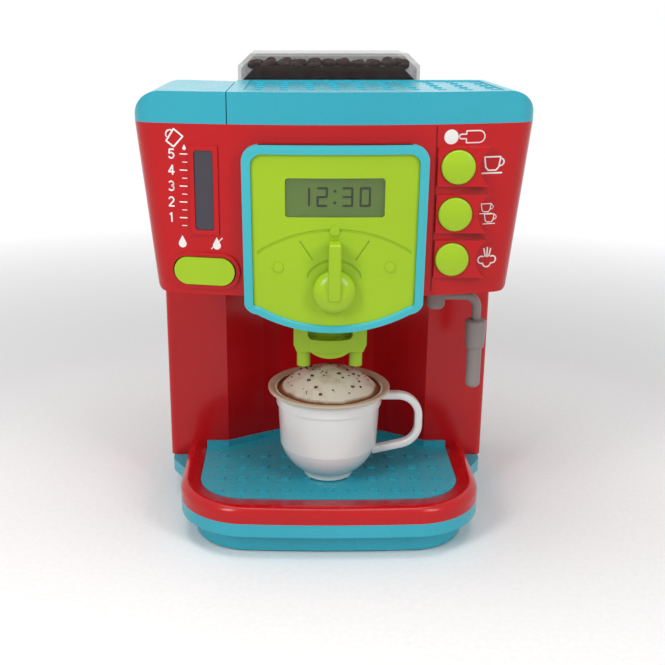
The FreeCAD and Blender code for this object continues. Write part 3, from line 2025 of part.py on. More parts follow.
# Pump and motor on the shelf, and the hoses from the tank and to the spout
shelf_top = S.head_foot + S.wall
pump_front = S.nipple_y - S.pump_deep / 2
keep(
    block(
        "pump_head",
        S.pump_x - S.pump_half,
        pump_front,
        shelf_top,
        S.pump_x + S.pump_half,
        pump_front + S.pump_deep,
        shelf_top + S.pump_high,
    ),
    "pump_head",
)
keep(
    rod(
        "pump_motor",
        S.motor_radius,
        S.motor_length,
        S.pump_x,
        pump_front,
        shelf_top + S.pump_high / 2,
        "-Y",
    ),
    "pump_motor",
)


def hose(name, radius, runs):
    """A hose through straight runs joined by tangent arcs, from the shape of its centre line."""
    start = runs[0]
    direction = runs[1].sub(start).normalize()
    edges = []
    here = start
    for i in range(1, len(runs) - 1):
        back = (runs[i - 1] - runs[i]).normalize()
        ahead = (runs[i + 1] - runs[i]).normalize()
        half = math.acos(back.dot(ahead)) / 2
        trim = S.hose_bend.value / math.tan(half)
        arrive = runs[i] + back * trim
        leave = runs[i] + ahead * trim
        centre = runs[i] + (back + ahead).normalize() * (S.hose_bend.value / math.sin(half))
        middle = centre + (runs[i] - centre).normalize() * S.hose_bend.value
        if (arrive - here).Length > 0.01:
            edges.append(Part.LineSegment(here, arrive).toShape())
        edges.append(Part.Arc(arrive, middle, leave).toShape())
        here = leave
    edges.append(Part.LineSegment(here, runs[-1]).toShape())
    spine = Part.Wire(edges)
    outer = Part.Wire(Part.Circle(start, direction, radius).toShape())
    piece = doc.addObject("Part::Feature", name)
    piece.Shape = spine.makePipeShell([outer], True, True)
    piece.Placement = Placement()
    return keep(piece, name)


nipple_end = (S.tank_foot - S.nipple_length).value
hose_z = S.hose_z.value
hose(
    "suction_hose",
    S.hose_radius.value,
    [
        Vector(S.nipple_x.value, S.nipple_y.value, nipple_end),
        Vector(S.nipple_x.value, S.nipple_y.value, hose_z),
        Vector((S.pump_x - S.pump_half).value, S.nipple_y.value, hose_z),
    ],
)
hose(
    "delivery_hose",
    S.hose_radius.value,
    [
        Vector((S.pump_x + S.pump_half).value, S.nipple_y.value, hose_z),
        Vector(0, S.nipple_y.value, hose_z),
        Vector(0, S.nozzle_y.value, hose_z),
        Vector(0, S.nozzle_y.value, S.head_foot.value),
    ],
)

# Cup: a bowl with a stepped band and a flared lip, and a loop handle
cup = new_body("cup")
cup_foot = S.tray_floor + S.dimple_height
foot_r = S.cup_foot_radius
turned(
    cup,
    [
        (0, cup_foot + 0.8),
        (foot_r - 2, cup_foot + 0.8),
        (foot_r - 2, cup_foot),
        (foot_r, cup_foot),
        (foot_r, cup_foot + S.cup_foot_high),
        Bulge(30),
        (S.cup_bowl_radius, S.cup_bowl_z),
        (S.cup_band_low_radius - 0.5, S.cup_band_z),
        (S.cup_band_radius - 0.3, S.cup_band_z),
        (S.cup_band_radius, S.cup_lip_z - 1),
        (S.cup_band_radius + 1.4, S.cup_lip_z + 1.2),
        (S.cup_lip_radius, S.cup_top - S.cup_lip_thick),
        (S.cup_lip_radius, S.cup_top - 0.4),
        (S.cup_lip_radius - 0.6, S.cup_top),
        (S.cup_lip_radius - 1.6, S.cup_top),
        (S.cup_lip_radius - 2.6, S.cup_top - 0.4),
        (S.cup_band_radius - 0.1, S.cup_lip_z + 2.1),
        (S.cup_band_radius - S.cup_wall, S.cup_lip_z - 1),
        (S.cup_bowl_radius - S.cup_wall, S.cup_bowl_z),
        Bulge(28, left=True),
        (foot_r - 1, cup_foot + S.cup_foot_high + 1),
        (0, cup_foot + S.cup_foot_high),
    ],
    0,
)
handle_start = S.cup_band_radius - 1.2
grip = sketch_on(
    cup,
    "YZ",
    [
        box(
            -S.handle_wide / 2,
            S.handle_top - S.handle_thick / 2,
            S.handle_wide / 2,
            S.handle_top + S.handle_thick / 2,
            1.6,
        )
    ],
    handle_start,
)
loop = cup.newObject("Sketcher::SketchObject", "handle_path")
loop.AttachmentSupport = (
    [o for o in cup.Origin.OriginFeatures if o.Role == "XZ_Plane"][0],
    [""],
)
loop.MapMode = "FlatFace"
handle = Drawing(loop)
grip_x = S.handle_x - S.handle_thick / 2
bend = S.handle_bend
bend_x = grip_x - bend
upper_z = S.handle_top - bend
lower_z = S.handle_low
top_point = Vector(handle_start.value, S.handle_top.value, 0)
upper_centre = Vector(bend_x.value, upper_z.value, 0)
lower_centre = Vector(bend_x.value, lower_z.value, 0)
foot_point = Vector(S.handle_foot_x.value, S.handle_foot.value, 0)
to_foot = foot_point - lower_centre
turn_end = math.atan2(to_foot.y, to_foot.x) + math.acos(bend.value / to_foot.Length)
over = handle.add(Part.LineSegment(top_point, Vector(bend_x.value, S.handle_top.value, 0)))
upper = handle.add(
    Part.ArcOfCircle(Part.Circle(upper_centre, Vector(0, 0, 1), bend.value), 0, math.pi / 2)
)
down = handle.add(
    Part.LineSegment(Vector(grip_x.value, upper_z.value, 0), Vector(grip_x.value, lower_z.value, 0))
)
lower = handle.add(
    Part.ArcOfCircle(Part.Circle(lower_centre, Vector(0, 0, 1), bend.value), turn_end, 0)
)
back_in = handle.add(Part.LineSegment(handle.sketch.getPoint(lower, 1), foot_point))
handle.rule("Tangent", over, 2, upper, 2)
handle.rule("Tangent", upper, 1, down, 1)
handle.rule("Tangent", down, 2, lower, 2)
handle.rule("Tangent", lower, 1, back_in, 1)
handle.place(over, 1, handle_start, S.handle_top)
handle.place(upper, 3, bend_x, upper_z)
handle.size("Radius", upper, bend)
handle.place(lower, 3, bend_x, lower_z)
handle.place(back_in, 2, S.handle_foot_x, S.handle_foot)
handle.finish()
grip_pipe = cup.newObject("PartDesign::AdditivePipe", "handle")
grip_pipe.Profile = grip
grip_pipe.Spine = loop
grip_pipe.Transition = "Transformed"
put(cup, 0, S.cup_y, 0)

# Foam: a plug in the cup's mouth with a groove and a dome
foam = new_body("foam_dome")
dome_rise = S.foam_top - S.foam_groove_z - 0.8
dome_foot_r = S.foam_groove_radius - 1.4
dome_arc = (dome_foot_r * dome_foot_r + dome_rise * dome_rise) / (2 * dome_rise)
turned(
    foam,
    [
        (0, S.foam_under),
        (S.cup_band_radius - S.cup_wall - 0.8, S.foam_under),
        (S.cup_band_radius - S.cup_wall - 0.4, S.cup_lip_z - 1.2),
        (S.foam_edge_radius - 1.2, S.foam_groove_z + 0.2),
        (S.foam_edge_radius, S.foam_groove_z + 1.0),
        (S.foam_edge_radius - 0.9, S.foam_groove_z + 1.2),
        (S.foam_groove_radius, S.foam_groove_z),
        (dome_foot_r, S.foam_groove_z + 0.8),
        Bulge(dome_arc),
        (0, S.foam_top),
    ],
)
put(foam, 0, S.cup_y, 0)

doc.recompute()
problems = []
for item in doc.Objects:
    if {"Invalid", "Error"} & set(item.State):
        problems.append(f"{item.Label} ({item.Name}): {item.State}")
for name, piece in parts.items():
    if piece.Shape.isNull() or not piece.Shape.isValid():
        problems.append(f"{name}: no valid shape")
if problems:
    raise RuntimeError("; ".join(problems))
os.makedirs("parts", exist_ok=True)
for name, piece in parts.items():
    piece.Shape.exportStep(f"parts/{name}.step")
print(len(parts), "pieces written")
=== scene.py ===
# %% [markdown]
# # A toy coffee maker
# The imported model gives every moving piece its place.
# This lesson gives each piece its finish, and adds what is printed, sprinkled or loose on it.
# It also makes a few rounder forms: the rim of the frame, the caps of the buttons and the knob.

# %%
import json
import math
import random

import bmesh
import bpy
from mathutils import Euler, Matrix, Vector
from mathutils.bvhtree import BVHTree

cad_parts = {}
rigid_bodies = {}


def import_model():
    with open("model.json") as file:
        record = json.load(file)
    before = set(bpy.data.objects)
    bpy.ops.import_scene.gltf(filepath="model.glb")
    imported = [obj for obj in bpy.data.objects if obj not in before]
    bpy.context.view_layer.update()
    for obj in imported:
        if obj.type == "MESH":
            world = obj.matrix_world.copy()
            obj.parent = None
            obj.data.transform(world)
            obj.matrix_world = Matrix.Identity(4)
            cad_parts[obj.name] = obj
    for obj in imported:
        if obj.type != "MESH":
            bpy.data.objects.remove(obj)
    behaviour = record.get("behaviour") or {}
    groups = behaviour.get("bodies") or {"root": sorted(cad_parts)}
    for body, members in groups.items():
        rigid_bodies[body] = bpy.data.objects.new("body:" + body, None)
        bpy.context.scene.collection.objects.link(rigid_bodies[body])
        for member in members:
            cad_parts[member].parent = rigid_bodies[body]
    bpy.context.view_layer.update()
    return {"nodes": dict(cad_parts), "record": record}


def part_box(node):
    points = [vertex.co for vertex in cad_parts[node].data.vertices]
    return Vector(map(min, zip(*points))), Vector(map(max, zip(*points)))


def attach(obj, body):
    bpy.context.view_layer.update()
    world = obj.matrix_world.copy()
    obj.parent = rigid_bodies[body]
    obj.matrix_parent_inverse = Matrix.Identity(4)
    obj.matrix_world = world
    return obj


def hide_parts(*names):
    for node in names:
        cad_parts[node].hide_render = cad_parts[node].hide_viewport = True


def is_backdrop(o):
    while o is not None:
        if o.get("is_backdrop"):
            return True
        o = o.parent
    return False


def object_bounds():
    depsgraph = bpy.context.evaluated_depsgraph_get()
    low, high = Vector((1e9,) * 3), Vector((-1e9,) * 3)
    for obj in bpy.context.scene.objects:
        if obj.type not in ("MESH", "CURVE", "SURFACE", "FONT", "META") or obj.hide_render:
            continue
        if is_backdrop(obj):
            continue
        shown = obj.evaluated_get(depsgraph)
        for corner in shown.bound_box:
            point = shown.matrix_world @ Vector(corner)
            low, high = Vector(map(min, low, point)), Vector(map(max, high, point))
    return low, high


for extra in list(bpy.data.objects):
    bpy.data.objects.remove(extra)
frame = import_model()
MM = 0.001
nodes = frame["nodes"]

# %% [markdown]
# ## Small helpers for shaders
# A shader is a tree of nodes, and these short functions each add one kind of node to it.

# %%
SCREEN_GAMMA = 2.2


def colour(code):
    """A hex colour as the linear colour a shader wants."""
    parts = [int(code[i : i + 2], 16) / 255 for i in (0, 2, 4)]
    return tuple(p**SCREEN_GAMMA for p in parts) + (1.0,)


def node(tree, kind, **settings):
    """A new shader node with the settings given."""
    made = tree.nodes.new(kind)
    for key, value in settings.items():
        setattr(made, key, value)
    return made


def noise(tree, coords, scale, detail, stretch=None):
    """A noise texture over the piece's own coordinates, in features per metre."""
    source = coords
    if stretch:
        mapping = node(tree, "ShaderNodeMapping")
        mapping.inputs["Scale"].default_value = stretch
        tree.links.new(coords, mapping.inputs["Vector"])
        source = mapping.outputs["Vector"]
    made = node(tree, "ShaderNodeTexNoise")
    made.inputs["Scale"].default_value = scale
    made.inputs["Detail"].default_value = detail
    tree.links.new(source, made.inputs["Vector"])
    return made.outputs["Fac"]


def remap(tree, value, low, high, to_low, to_high):
    """Moves a value from one range to another."""
    made = node(tree, "ShaderNodeMapRange")
    made.inputs["From Min"].default_value = low
    made.inputs["From Max"].default_value = high
    made.inputs["To Min"].default_value = to_low
    made.inputs["To Max"].default_value = to_high
    tree.links.new(value, made.inputs["Value"])
    return made.outputs["Result"]


def maths(tree, operation, first, second=None, value=None):
    """One operation on a socket, with a second socket or a plain value."""
    made = node(tree, "ShaderNodeMath", operation=operation)
    tree.links.new(first, made.inputs[0])
    if second is not None:
        tree.links.new(second, made.inputs[1])
    elif value is not None:
        made.inputs[1].default_value = value
    return made.outputs[0]


MIX_FACTOR, MIX_FIRST, MIX_SECOND, MIX_RESULT = 0, 6, 7, 2


def mix(tree, factor, first, second):
    """Mixes two colours; each is a socket or a plain colour."""
    made = node(tree, "ShaderNodeMix", data_type="RGBA")
    for socket, value in ((MIX_FACTOR, factor), (MIX_FIRST, first), (MIX_SECOND, second)):
        if hasattr(value, "is_output"):
            tree.links.new(value, made.inputs[socket])
        else:
            made.inputs[socket].default_value = value
    return made.outputs[MIX_RESULT]


# %% [markdown]
# ## The moulded surface
# A toy's shell leaves a polished steel mould and is then handled, so it is never quite even.
# One group makes that look for every finish: faint patches of colour, a fine grain,
# short handling scratches and a little dust on what faces up.

# %%
# How many features a metre holds, for each effect.
PATCHES, SPECKS, SCRATCHES, SMEARS, GRAIN, SINKS = 9, 260, 90, 34, 1400, 26
SCRATCH_STRETCH = (1.0, 1.0, 14.0)
GRAIN_SHARE = 0.12
BUMP_DEPTH = 0.4 * MM
BLACK = (0.0, 0.0, 0.0, 1)
DUST = colour("D9D4CC")


def moulded_group():
    """Colour, roughness and normal of a moulded surface."""
    tree = bpy.data.node_groups.new("moulded_surface", "ShaderNodeTree")
    face = tree.interface
    face.new_socket("Colour", in_out="INPUT", socket_type="NodeSocketColor")
    for name, value in (("Roughness", 0.3), ("Grain", 0.2), ("Wear", 0.5)):
        socket = face.new_socket(name, in_out="INPUT", socket_type="NodeSocketFloat")
        socket.default_value = value
    face.new_socket("Colour", in_out="OUTPUT", socket_type="NodeSocketColor")
    face.new_socket("Roughness", in_out="OUTPUT", socket_type="NodeSocketFloat")
    face.new_socket("Normal", in_out="OUTPUT", socket_type="NodeSocketVector")
    given = node(tree, "NodeGroupInput").outputs
    result = node(tree, "NodeGroupOutput").inputs
    coords = node(tree, "ShaderNodeTexCoord").outputs["Object"]

    patches = remap(tree, noise(tree, coords, PATCHES, 3), 0.35, 0.7, 0.0, 1.0)
    deeper = mix(tree, 0.1, given["Colour"], BLACK)
    toned = mix(tree, patches, deeper, given["Colour"])
    up = node(tree, "ShaderNodeSeparateXYZ")
    tree.links.new(node(tree, "ShaderNodeNewGeometry").outputs["Normal"], up.inputs[0])
    facing_up = remap(tree, up.outputs["Z"], 0.6, 1.0, 0.0, 1.0)
    specks = remap(tree, noise(tree, coords, SPECKS, 5), 0.55, 0.75, 0.0, 0.07)
    dust = maths(tree, "MULTIPLY", maths(tree, "MULTIPLY", facing_up, specks), given["Wear"])
    dusty = mix(tree, dust, toned, DUST)
    tree.links.new(dusty, result["Colour"])

    scratches = noise(tree, coords, SCRATCHES, 2, SCRATCH_STRETCH)
    scratched = remap(tree, scratches, 0.66, 0.76, 0.0, 0.07)
    smears = remap(tree, noise(tree, coords, SMEARS, 4), 0.4, 0.75, -0.03, 0.09)
    worn = maths(tree, "MULTIPLY", maths(tree, "ADD", scratched, smears), given["Wear"])
    rough = maths(tree, "ADD", maths(tree, "ADD", given["Roughness"], worn), dust)
    tree.links.new(rough, result["Roughness"])

    grain = noise(tree, coords, GRAIN, 2)
    sink = noise(tree, coords, SINKS, 1)
    height = maths(tree, "ADD", maths(tree, "MULTIPLY", grain, value=GRAIN_SHARE), sink)
    bump = node(tree, "ShaderNodeBump")
    bump.inputs["Distance"].default_value = BUMP_DEPTH
    tree.links.new(given["Grain"], bump.inputs["Strength"])
    tree.links.new(height, bump.inputs["Height"])
    tree.links.new(bump.outputs["Normal"], result["Normal"])
    return tree


MOULDED = moulded_group()
print("one shader group for every moulded surface:", MOULDED.name)

# %% [markdown]
# ## Kinds of material
# The toy has four kinds: moulded plastic, thin smoky plastic, clear plastic and bare metal.
# The last three start from the first and change only what sets them apart.

# %%
COAT_ROUGHNESS, SHINE, CLEAR_IOR = 0.08, 0.3, 1.46


def shader_of(material):
    """The material's main shader."""
    return material.node_tree.nodes["Principled BSDF"]


def plastic(name, code, roughness, grain, wear, coat, paint=None):
    """A material of moulded plastic; paint can change its colour before the wear goes on."""
    material = bpy.data.materials.new(name)
    material.use_nodes = True
    tree = material.node_tree
    shader = shader_of(material)
    effect = node(tree, "ShaderNodeGroup", node_tree=MOULDED)
    effect.inputs["Colour"].default_value = colour(code)
    effect.inputs["Roughness"].default_value = roughness
    effect.inputs["Grain"].default_value = grain
    effect.inputs["Wear"].default_value = wear
    if paint:
        tree.links.new(paint(tree, colour(code)), effect.inputs["Colour"])
    shader.inputs["Coat Weight"].default_value = coat
    shader.inputs["Coat Roughness"].default_value = COAT_ROUGHNESS
    shader.inputs["Specular IOR Level"].default_value = SHINE
    tree.links.new(effect.outputs["Colour"], shader.inputs["Base Color"])
    tree.links.new(effect.outputs["Roughness"], shader.inputs["Roughness"])
    tree.links.new(effect.outputs["Normal"], shader.inputs["Normal"])
    return material


def smoky(name, code, roughness, solid):
    """Thin dark plastic that lets what lies under it show."""
    material = plastic(name, code, roughness, grain=0.12, wear=0.4, coat=0.6)
    shader_of(material).inputs["Alpha"].default_value = solid
    return material


def clear(name, code, roughness, through):
    """Clear or tinted plastic with faint smears."""
    material = plastic(name, code, roughness, grain=0.12, wear=0.5, coat=0.0)
    shader_of(material).inputs["Transmission Weight"].default_value = through
    shader_of(material).inputs["IOR"].default_value = CLEAR_IOR
    return material


def metal(name, code, roughness):
    """Bare metal, plated or drawn."""
    material = plastic(name, code, roughness, grain=0.4, wear=0.9, coat=0.0)
    shader_of(material).inputs["Metallic"].default_value = 1.0
    return material


# %% [markdown]
# ## Finishes
# Each colour of plastic is one moulding material, and the parts inside have the usual plain ones.
# The foam takes its brown ring from its own coordinates, as the sauce lies in the groove near the rim.

# %%
CUP_CENTRE_Y = -24.0
FOAM_WANDER = 1.2 * MM
RING_START, RING_FULL, RING_FADE, RING_END = 27.4 * MM, 28.8 * MM, 31.0 * MM, 32.0 * MM
LIP_START, LIP_FULL = 82.6 * MM, 83.4 * MM


def distance_from_cup_axis(tree):
    """How far a point of the foam is from the cup's upright axis, with a little wander."""
    coords = node(tree, "ShaderNodeTexCoord").outputs["Object"]
    shift = node(tree, "ShaderNodeVectorMath", operation="MULTIPLY_ADD")
    tree.links.new(coords, shift.inputs[0])
    shift.inputs[1].default_value = (1, 1, 0)
    shift.inputs[2].default_value = (0, -CUP_CENTRE_Y * MM, 0)
    reach = node(tree, "ShaderNodeVectorMath", operation="LENGTH")
    tree.links.new(shift.outputs["Vector"], reach.inputs[0])
    wander = remap(tree, noise(tree, coords, 90, 3), 0.0, 1.0, -FOAM_WANDER, FOAM_WANDER)
    return maths(tree, "ADD", reach.outputs["Value"], wander)


def foam_paint(tree, base):
    """Cream foam, darker patches of coffee and a brown ring near the rim."""
    reach = distance_from_cup_axis(tree)
    inner = remap(tree, reach, RING_START, RING_FULL, 0.0, 1.0)
    outer = remap(tree, reach, RING_FADE, RING_END, 1.0, 0.0)
    ring = maths(tree, "MULTIPLY", inner, outer)
    coords = node(tree, "ShaderNodeTexCoord").outputs["Object"]
    stains = remap(tree, noise(tree, coords, 120, 4), 0.5, 0.68, 0.0, 0.55)
    stained = mix(tree, stains, base, colour("B79C7D"))
    return mix(tree, ring, stained, colour("7A4A2A"))


def cup_paint(tree, base):
    """The cup's white, with a cream glaze on its lip."""
    split = node(tree, "ShaderNodeSeparateXYZ")
    tree.links.new(node(tree, "ShaderNodeTexCoord").outputs["Object"], split.inputs[0])
    lip = remap(tree, split.outputs["Z"], LIP_START, LIP_FULL, 0.0, 1.0)
    return mix(tree, lip, base, colour("C6B59C"))


# A row of plastic gives its name and colour, then its roughness, grain, wear and coat.
finish = {
    "red_shell": plastic("red_gloss", "BE151B", 0.2, 0.12, 0.6, 0.06),
    "cyan_shell": plastic("cyan_gloss", "38A8BC", 0.26, 0.07, 0.5, 0.06),
    "cyan_bezel": plastic("bezel_gloss", "45B8C4", 0.22, 0.12, 0.5, 0.06),
    "lime_plastic": plastic("lime_gloss", "A2C726", 0.24, 0.15, 0.5, 0.06),
    "smoky_clear": smoky("smoky_cover", "1E1E20", 0.1, 0.32),
    "bean_brown": plastic("bean_brown", "54301F", 0.4, 0.6, 0.4, 0.15),
    "tinted_lens": plastic("tinted_window", "3B3742", 0.12, 0.1, 0.5, 0.5),
    "display_lens": clear("display_cover", "DDE8CF", 0.05, 1.0),
    "display_grey": plastic("display_glass", "86A044", 0.35, 0.1, 0.1, 0.0),
    "wand_grey": plastic("wand_satin", "8B8280", 0.42, 0.35, 0.6, 0.05),
    "cup_white": plastic("cup_glaze", "E2E4E2", 0.2, 0.15, 0.4, 0.4, cup_paint),
    "foam_cream": plastic("foam_moulding", "E0D8C4", 0.5, 1.0, 0.3, 0.05, foam_paint),
    "board_green": plastic("board_mask", "1D5A34", 0.35, 0.3, 0.2, 0.3),
    "dome_rubber": plastic("dome_silicone", "CFCFC6", 0.6, 0.3, 0.2, 0.0),
    "inner_grey": plastic("inner_moulding", "56595B", 0.5, 0.4, 0.4, 0.0),
    "tank_clear": clear("tank_wall", "D7E6EA", 0.1, 0.95),
    "hose_clear": clear("hose_wall", "D9D9D0", 0.3, 0.6),
    "screw_steel": metal("zinc_plate", "B9B9BB", 0.32),
    "motor_steel": metal("drawn_can", "A5A6A8", 0.38),
    "contact_brass": metal("contact_plate", "B59A57", 0.35),
    "cell_metal": plastic("cell_sleeve", "4A4A50", 0.3, 0.1, 0.3, 0.3),
    "speaker_black": plastic("speaker_cone", "141416", 0.6, 0.5, 0.2, 0.0),
}
slot_of = {part["node"]: part["material_slot"] for part in frame["record"]["subparts"]}
for name, piece in nodes.items():
    piece.data.materials.clear()
    piece.data.materials.append(finish[slot_of[name]])
print(len(nodes), "pieces carry", len(finish), "finishes")

# %% [markdown]
# ## Soft edges
# A mould has slightly rounded corners, so that the plastic flows in and lets go, and the shells show it.
# So each shell's edges are rounded a little, by the width in millimetres given here.

# %%
BEVEL_ANGLE = math.radians(32)
SHELL_SEGMENTS = 3
ROUND = {
    "top_cap": 0.9,
    "tank_lid": 0.9,
    "control_bezel": 1.3,
    "spout": 1.2,
    "hopper_cover": 0.9,
    "cup": 0.35,
    "foam_dome": 0.3,
    "drip_tray": 0.35,
    "tray_surround": 0.5,
    "base_shell": 0.9,
    "pump_rocker": 0.8,
    "level_window": 0.25,
    "wand_arm": 0.3,
    "wand_collar": 0.4,
    "wand_nozzle": 0.4,
    "front_housing": 0.5,
    "rear_housing": 0.4,
    "control_panel": 0.2,
    "battery_door": 0.3,
    "bottom_plate": 0.3,
}


def round_edges(piece, width, segments):
    """Rounds the sharp edges of a piece; the width is in millimetres."""
    bevel = piece.modifiers.new("soft_edges", "BEVEL")
    bevel.width = width * MM
    bevel.segments = segments
    bevel.limit_method = "ANGLE"
    bevel.angle_limit = BEVEL_ANGLE
    bevel.harden_normals = True
    bevel.use_clamp_overlap = True


for name, width in ROUND.items():
    piece = nodes[name]
    for polygon in piece.data.polygons:
        polygon.use_smooth = True
    round_edges(piece, width, SHELL_SEGMENTS)
print("rounded edges on", len(ROUND), "pieces")

# %% [markdown]
# ## What is printed
# On the toy the marks are printed in ink after moulding, so each is a thin layer on the surface under it.
# A point is given as seen from the front, and a straight look back finds the surface.

# %%
INK = 0.05 * MM
# The straight look back starts this far in front of the toy's middle, in metres.
LOOK_FROM_Y = -0.2
SURFACES = {}
for name in ("front_housing", "control_panel", "display_module", "control_bezel"):
    source = nodes[name].data
    SURFACES[name] = BVHTree.FromPolygons(
        [v.co for v in source.vertices], [p.vertices for p in source.polygons]
    )


def on_surface(name, x, z):
    """The point of a piece's front, in metres, at a place in millimetres seen from the front."""
    start = Vector((x * MM, LOOK_FROM_Y, z * MM))
    hit = SURFACES[name].ray_cast(start, Vector((0, 1, 0)))[0]
    return hit - Vector((0, INK, 0))


def new_piece(name, mesh_data, material, body):
    """A piece with its material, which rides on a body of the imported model."""
    piece = bpy.data.objects.new(name, mesh_data)
    bpy.context.scene.collection.objects.link(piece)
    piece.data.materials.append(material)
    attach(piece, body)
    return piece


def print_shapes(name, surface, shapes, material):
    """Flat shapes, each an outline of (x, z) points, laid on a surface that stays still."""
    mesh = bmesh.new()
    for outline in shapes:
        mesh.faces.new([mesh.verts.new(on_surface(surface, x, z)) for x, z in outline])
    bmesh.ops.triangulate(mesh, faces=mesh.faces[:])
    data = bpy.data.meshes.new(name)
    mesh.to_mesh(data)
    mesh.free()
    new_piece(name, data, material, "machine")


print("surfaces that a look back can meet:", ", ".join(SURFACES))

# %% [markdown]
# ### Lines, ovals and arcs
# Every sign is drawn from these few shapes, in a unit square, and then moved to its place.

# %%
STROKE_OVERRUN = 0.2


def stroke(points, width):
    """A line of that width through the points, as quads that run on a little to close its corners."""
    quads = []
    for (x0, z0), (x1, z1) in zip(points, points[1:]):
        run = Vector((x1 - x0, z1 - z0))
        side = Vector((-run.y, run.x)).normalized() * (width / 2)
        end = run.normalized() * (width * STROKE_OVERRUN)
        quads.append(
            [
                (x0 - end.x + side.x, z0 - end.y + side.y),
                (x0 - end.x - side.x, z0 - end.y - side.y),
                (x1 + end.x - side.x, z1 + end.y - side.y),
                (x1 + end.x + side.x, z1 + end.y + side.y),
            ]
        )
    return quads


def oval(x, z, wide, high, count=24):
    """Points round an oval, from its half widths."""
    turns = [2 * math.pi * i / count for i in range(count)]
    return [(x + wide * math.cos(t), z + high * math.sin(t)) for t in turns]


def curve(x, z, radius, start, end, count=10):
    """Points of an arc between two angles in degrees."""
    turns = [math.radians(start + (end - start) * i / count) for i in range(count + 1)]
    return [(x + radius * math.cos(t), z + radius * math.sin(t)) for t in turns]


def scaled(shapes, x, z, size):
    """Shapes drawn in a unit square, moved to their place."""
    return [[(x + size * a, z + size * b) for a, b in outline] for outline in shapes]


# %% [markdown]
# ### The signs
# The toy tells a child who can't read yet what each place is for, so its signs are plain outlines.

# %%
def drop_sign():
    """A falling drop, as an outline."""
    round_part = curve(0, -0.15, 0.33, -205, 25, 14)
    return [round_part + [(0, 0.55)]]


LINE = 0.075


def cup_sign():
    """The outline of a small cup with a handle, on a saucer line."""
    bowl = [(-0.42, 0.3), (-0.34, -0.2), (-0.2, -0.36), (0.2, -0.36), (0.34, -0.2), (0.42, 0.3), (-0.42, 0.3)]
    handle = curve(0.42, 0.04, 0.18, 85, -95)
    return stroke(bowl, LINE) + stroke(handle, LINE) + stroke([(-0.52, -0.5), (0.52, -0.5)], LINE)


def steam_sign():
    """Three jets over a small cloud of three lobes."""
    cloud = curve(-0.3, -0.1, 0.2, 60, 290) + curve(0.0, -0.28, 0.22, 200, 340)
    cloud += curve(0.3, -0.1, 0.2, -110, 120)
    jets = [[(-0.1, 0.08), (-0.19, 0.52)], [(0, 0.05), (0, 0.58)], [(0.1, 0.08), (0.19, 0.52)]]
    shapes = stroke(cloud, LINE)
    for jet in jets:
        shapes += stroke(jet, LINE)
    return shapes


def tilted(points, degrees):
    """Points turned round the middle of their unit square."""
    turn = Matrix.Rotation(math.radians(degrees), 2)
    return [tuple(turn @ Vector(point)) for point in points]


JUG_TILT = -38


def jug_sign():
    """A tilted jug and the drop that it pours."""
    body = [(-0.3, 0.38), (0.34, 0.38), (0.27, -0.4), (-0.24, -0.4), (-0.3, 0.38)]
    handle = curve(-0.28, 0.02, 0.24, 110, 255)
    shapes = stroke(tilted(body, JUG_TILT), 0.09) + stroke(tilted(handle, JUG_TILT), 0.08)
    return shapes + scaled(drop_sign(), 0.56, -0.5, 0.3)


def press_sign():
    """A hand that points at a round button."""
    hand = [(0.75, 0.28), (0.1, 0.28), (0.1, 0.12), (-0.15, 0.12)] + curve(-0.15, 0.01, 0.11, 90, 270, 6)
    hand += [(0.1, -0.1), (0.1, -0.3), (0.75, -0.3)] + curve(0.75, -0.01, 0.29, -90, 90, 8)
    return [oval(-0.66, 0, 0.36, 0.36)] + stroke(hand, 0.06)


# %% [markdown]
# ### Numerals and digits
# The scale's numerals are drawn with round strokes, and the display's digits with straight segments.

# %%
NUMERAL_STROKE = 0.17


def numeral(text, x, z, size):
    """A plain round numeral, drawn as strokes."""
    lines = {
        "1": [[(-0.16, 0.3), (0.03, 0.5), (0.03, -0.5)]],
        "2": [curve(0, 0.22, 0.27, 165, -35) + [(-0.28, -0.5), (0.3, -0.5)]],
        "3": [curve(-0.02, 0.24, 0.25, 150, -85), curve(-0.02, -0.24, 0.28, 85, -150)],
        "4": [[(0.13, -0.5), (0.13, 0.5), (-0.3, -0.22), (0.32, -0.22)]],
        "5": [[(0.26, 0.48), (-0.2, 0.48), (-0.25, 0.02)], curve(-0.02, -0.18, 0.3, 125, -150)],
    }
    shapes = []
    for line in lines[text]:
        shapes += stroke(line, NUMERAL_STROKE)
    return scaled(shapes, x, z, size)


DIGIT_HALF, DIGIT_TALL, DIGIT_STROKE = 0.26, 0.5, 0.13


def display_digit(text, x, z, size):
    """A display digit of up to seven segments."""
    half, tall = size * DIGIT_HALF, size * DIGIT_TALL
    points = {
        "a": [(-half, tall), (half, tall)],
        "b": [(half, tall), (half, 0)],
        "c": [(half, 0), (half, -tall)],
        "d": [(-half, -tall), (half, -tall)],
        "e": [(-half, 0), (-half, -tall)],
        "f": [(-half, tall), (-half, 0)],
        "g": [(-half, 0), (half, 0)],
    }
    segments = {"0": "abcdef", "1": "bc", "2": "abged", "3": "abgcd"}
    shapes = []
    for letter in segments[text]:
        line = [(x + a, z + b) for a, b in points[letter]]
        shapes += stroke(line, size * DIGIT_STROKE)
    return shapes


# %% [markdown]
# ### Laying the prints
# The left wing has a level scale with a jug and two drops, and the right wing a sign for each button.
# The scale's marks step a little to the left on the way down.

# %%
white_ink = plastic("white_ink", "F1EFEC", 0.45, 0.1, 0.3, 0.0)
dark_ink = plastic("dark_ink", "1F271B", 0.5, 0.1, 0.1, 0.0)
SCALE_TOP, SCALE_STEP, SCALE_LEAN, SCALE_MARKS = 230.5, 4.15, 0.034, 10
LONG_START, SHORT_START, MARK_END = -79.6, -78.3, -75.8
LONG_WIDTH, SHORT_WIDTH = 0.6, 0.42
NUMERAL_X, NUMERAL_SIZE = -84.2, 4.7
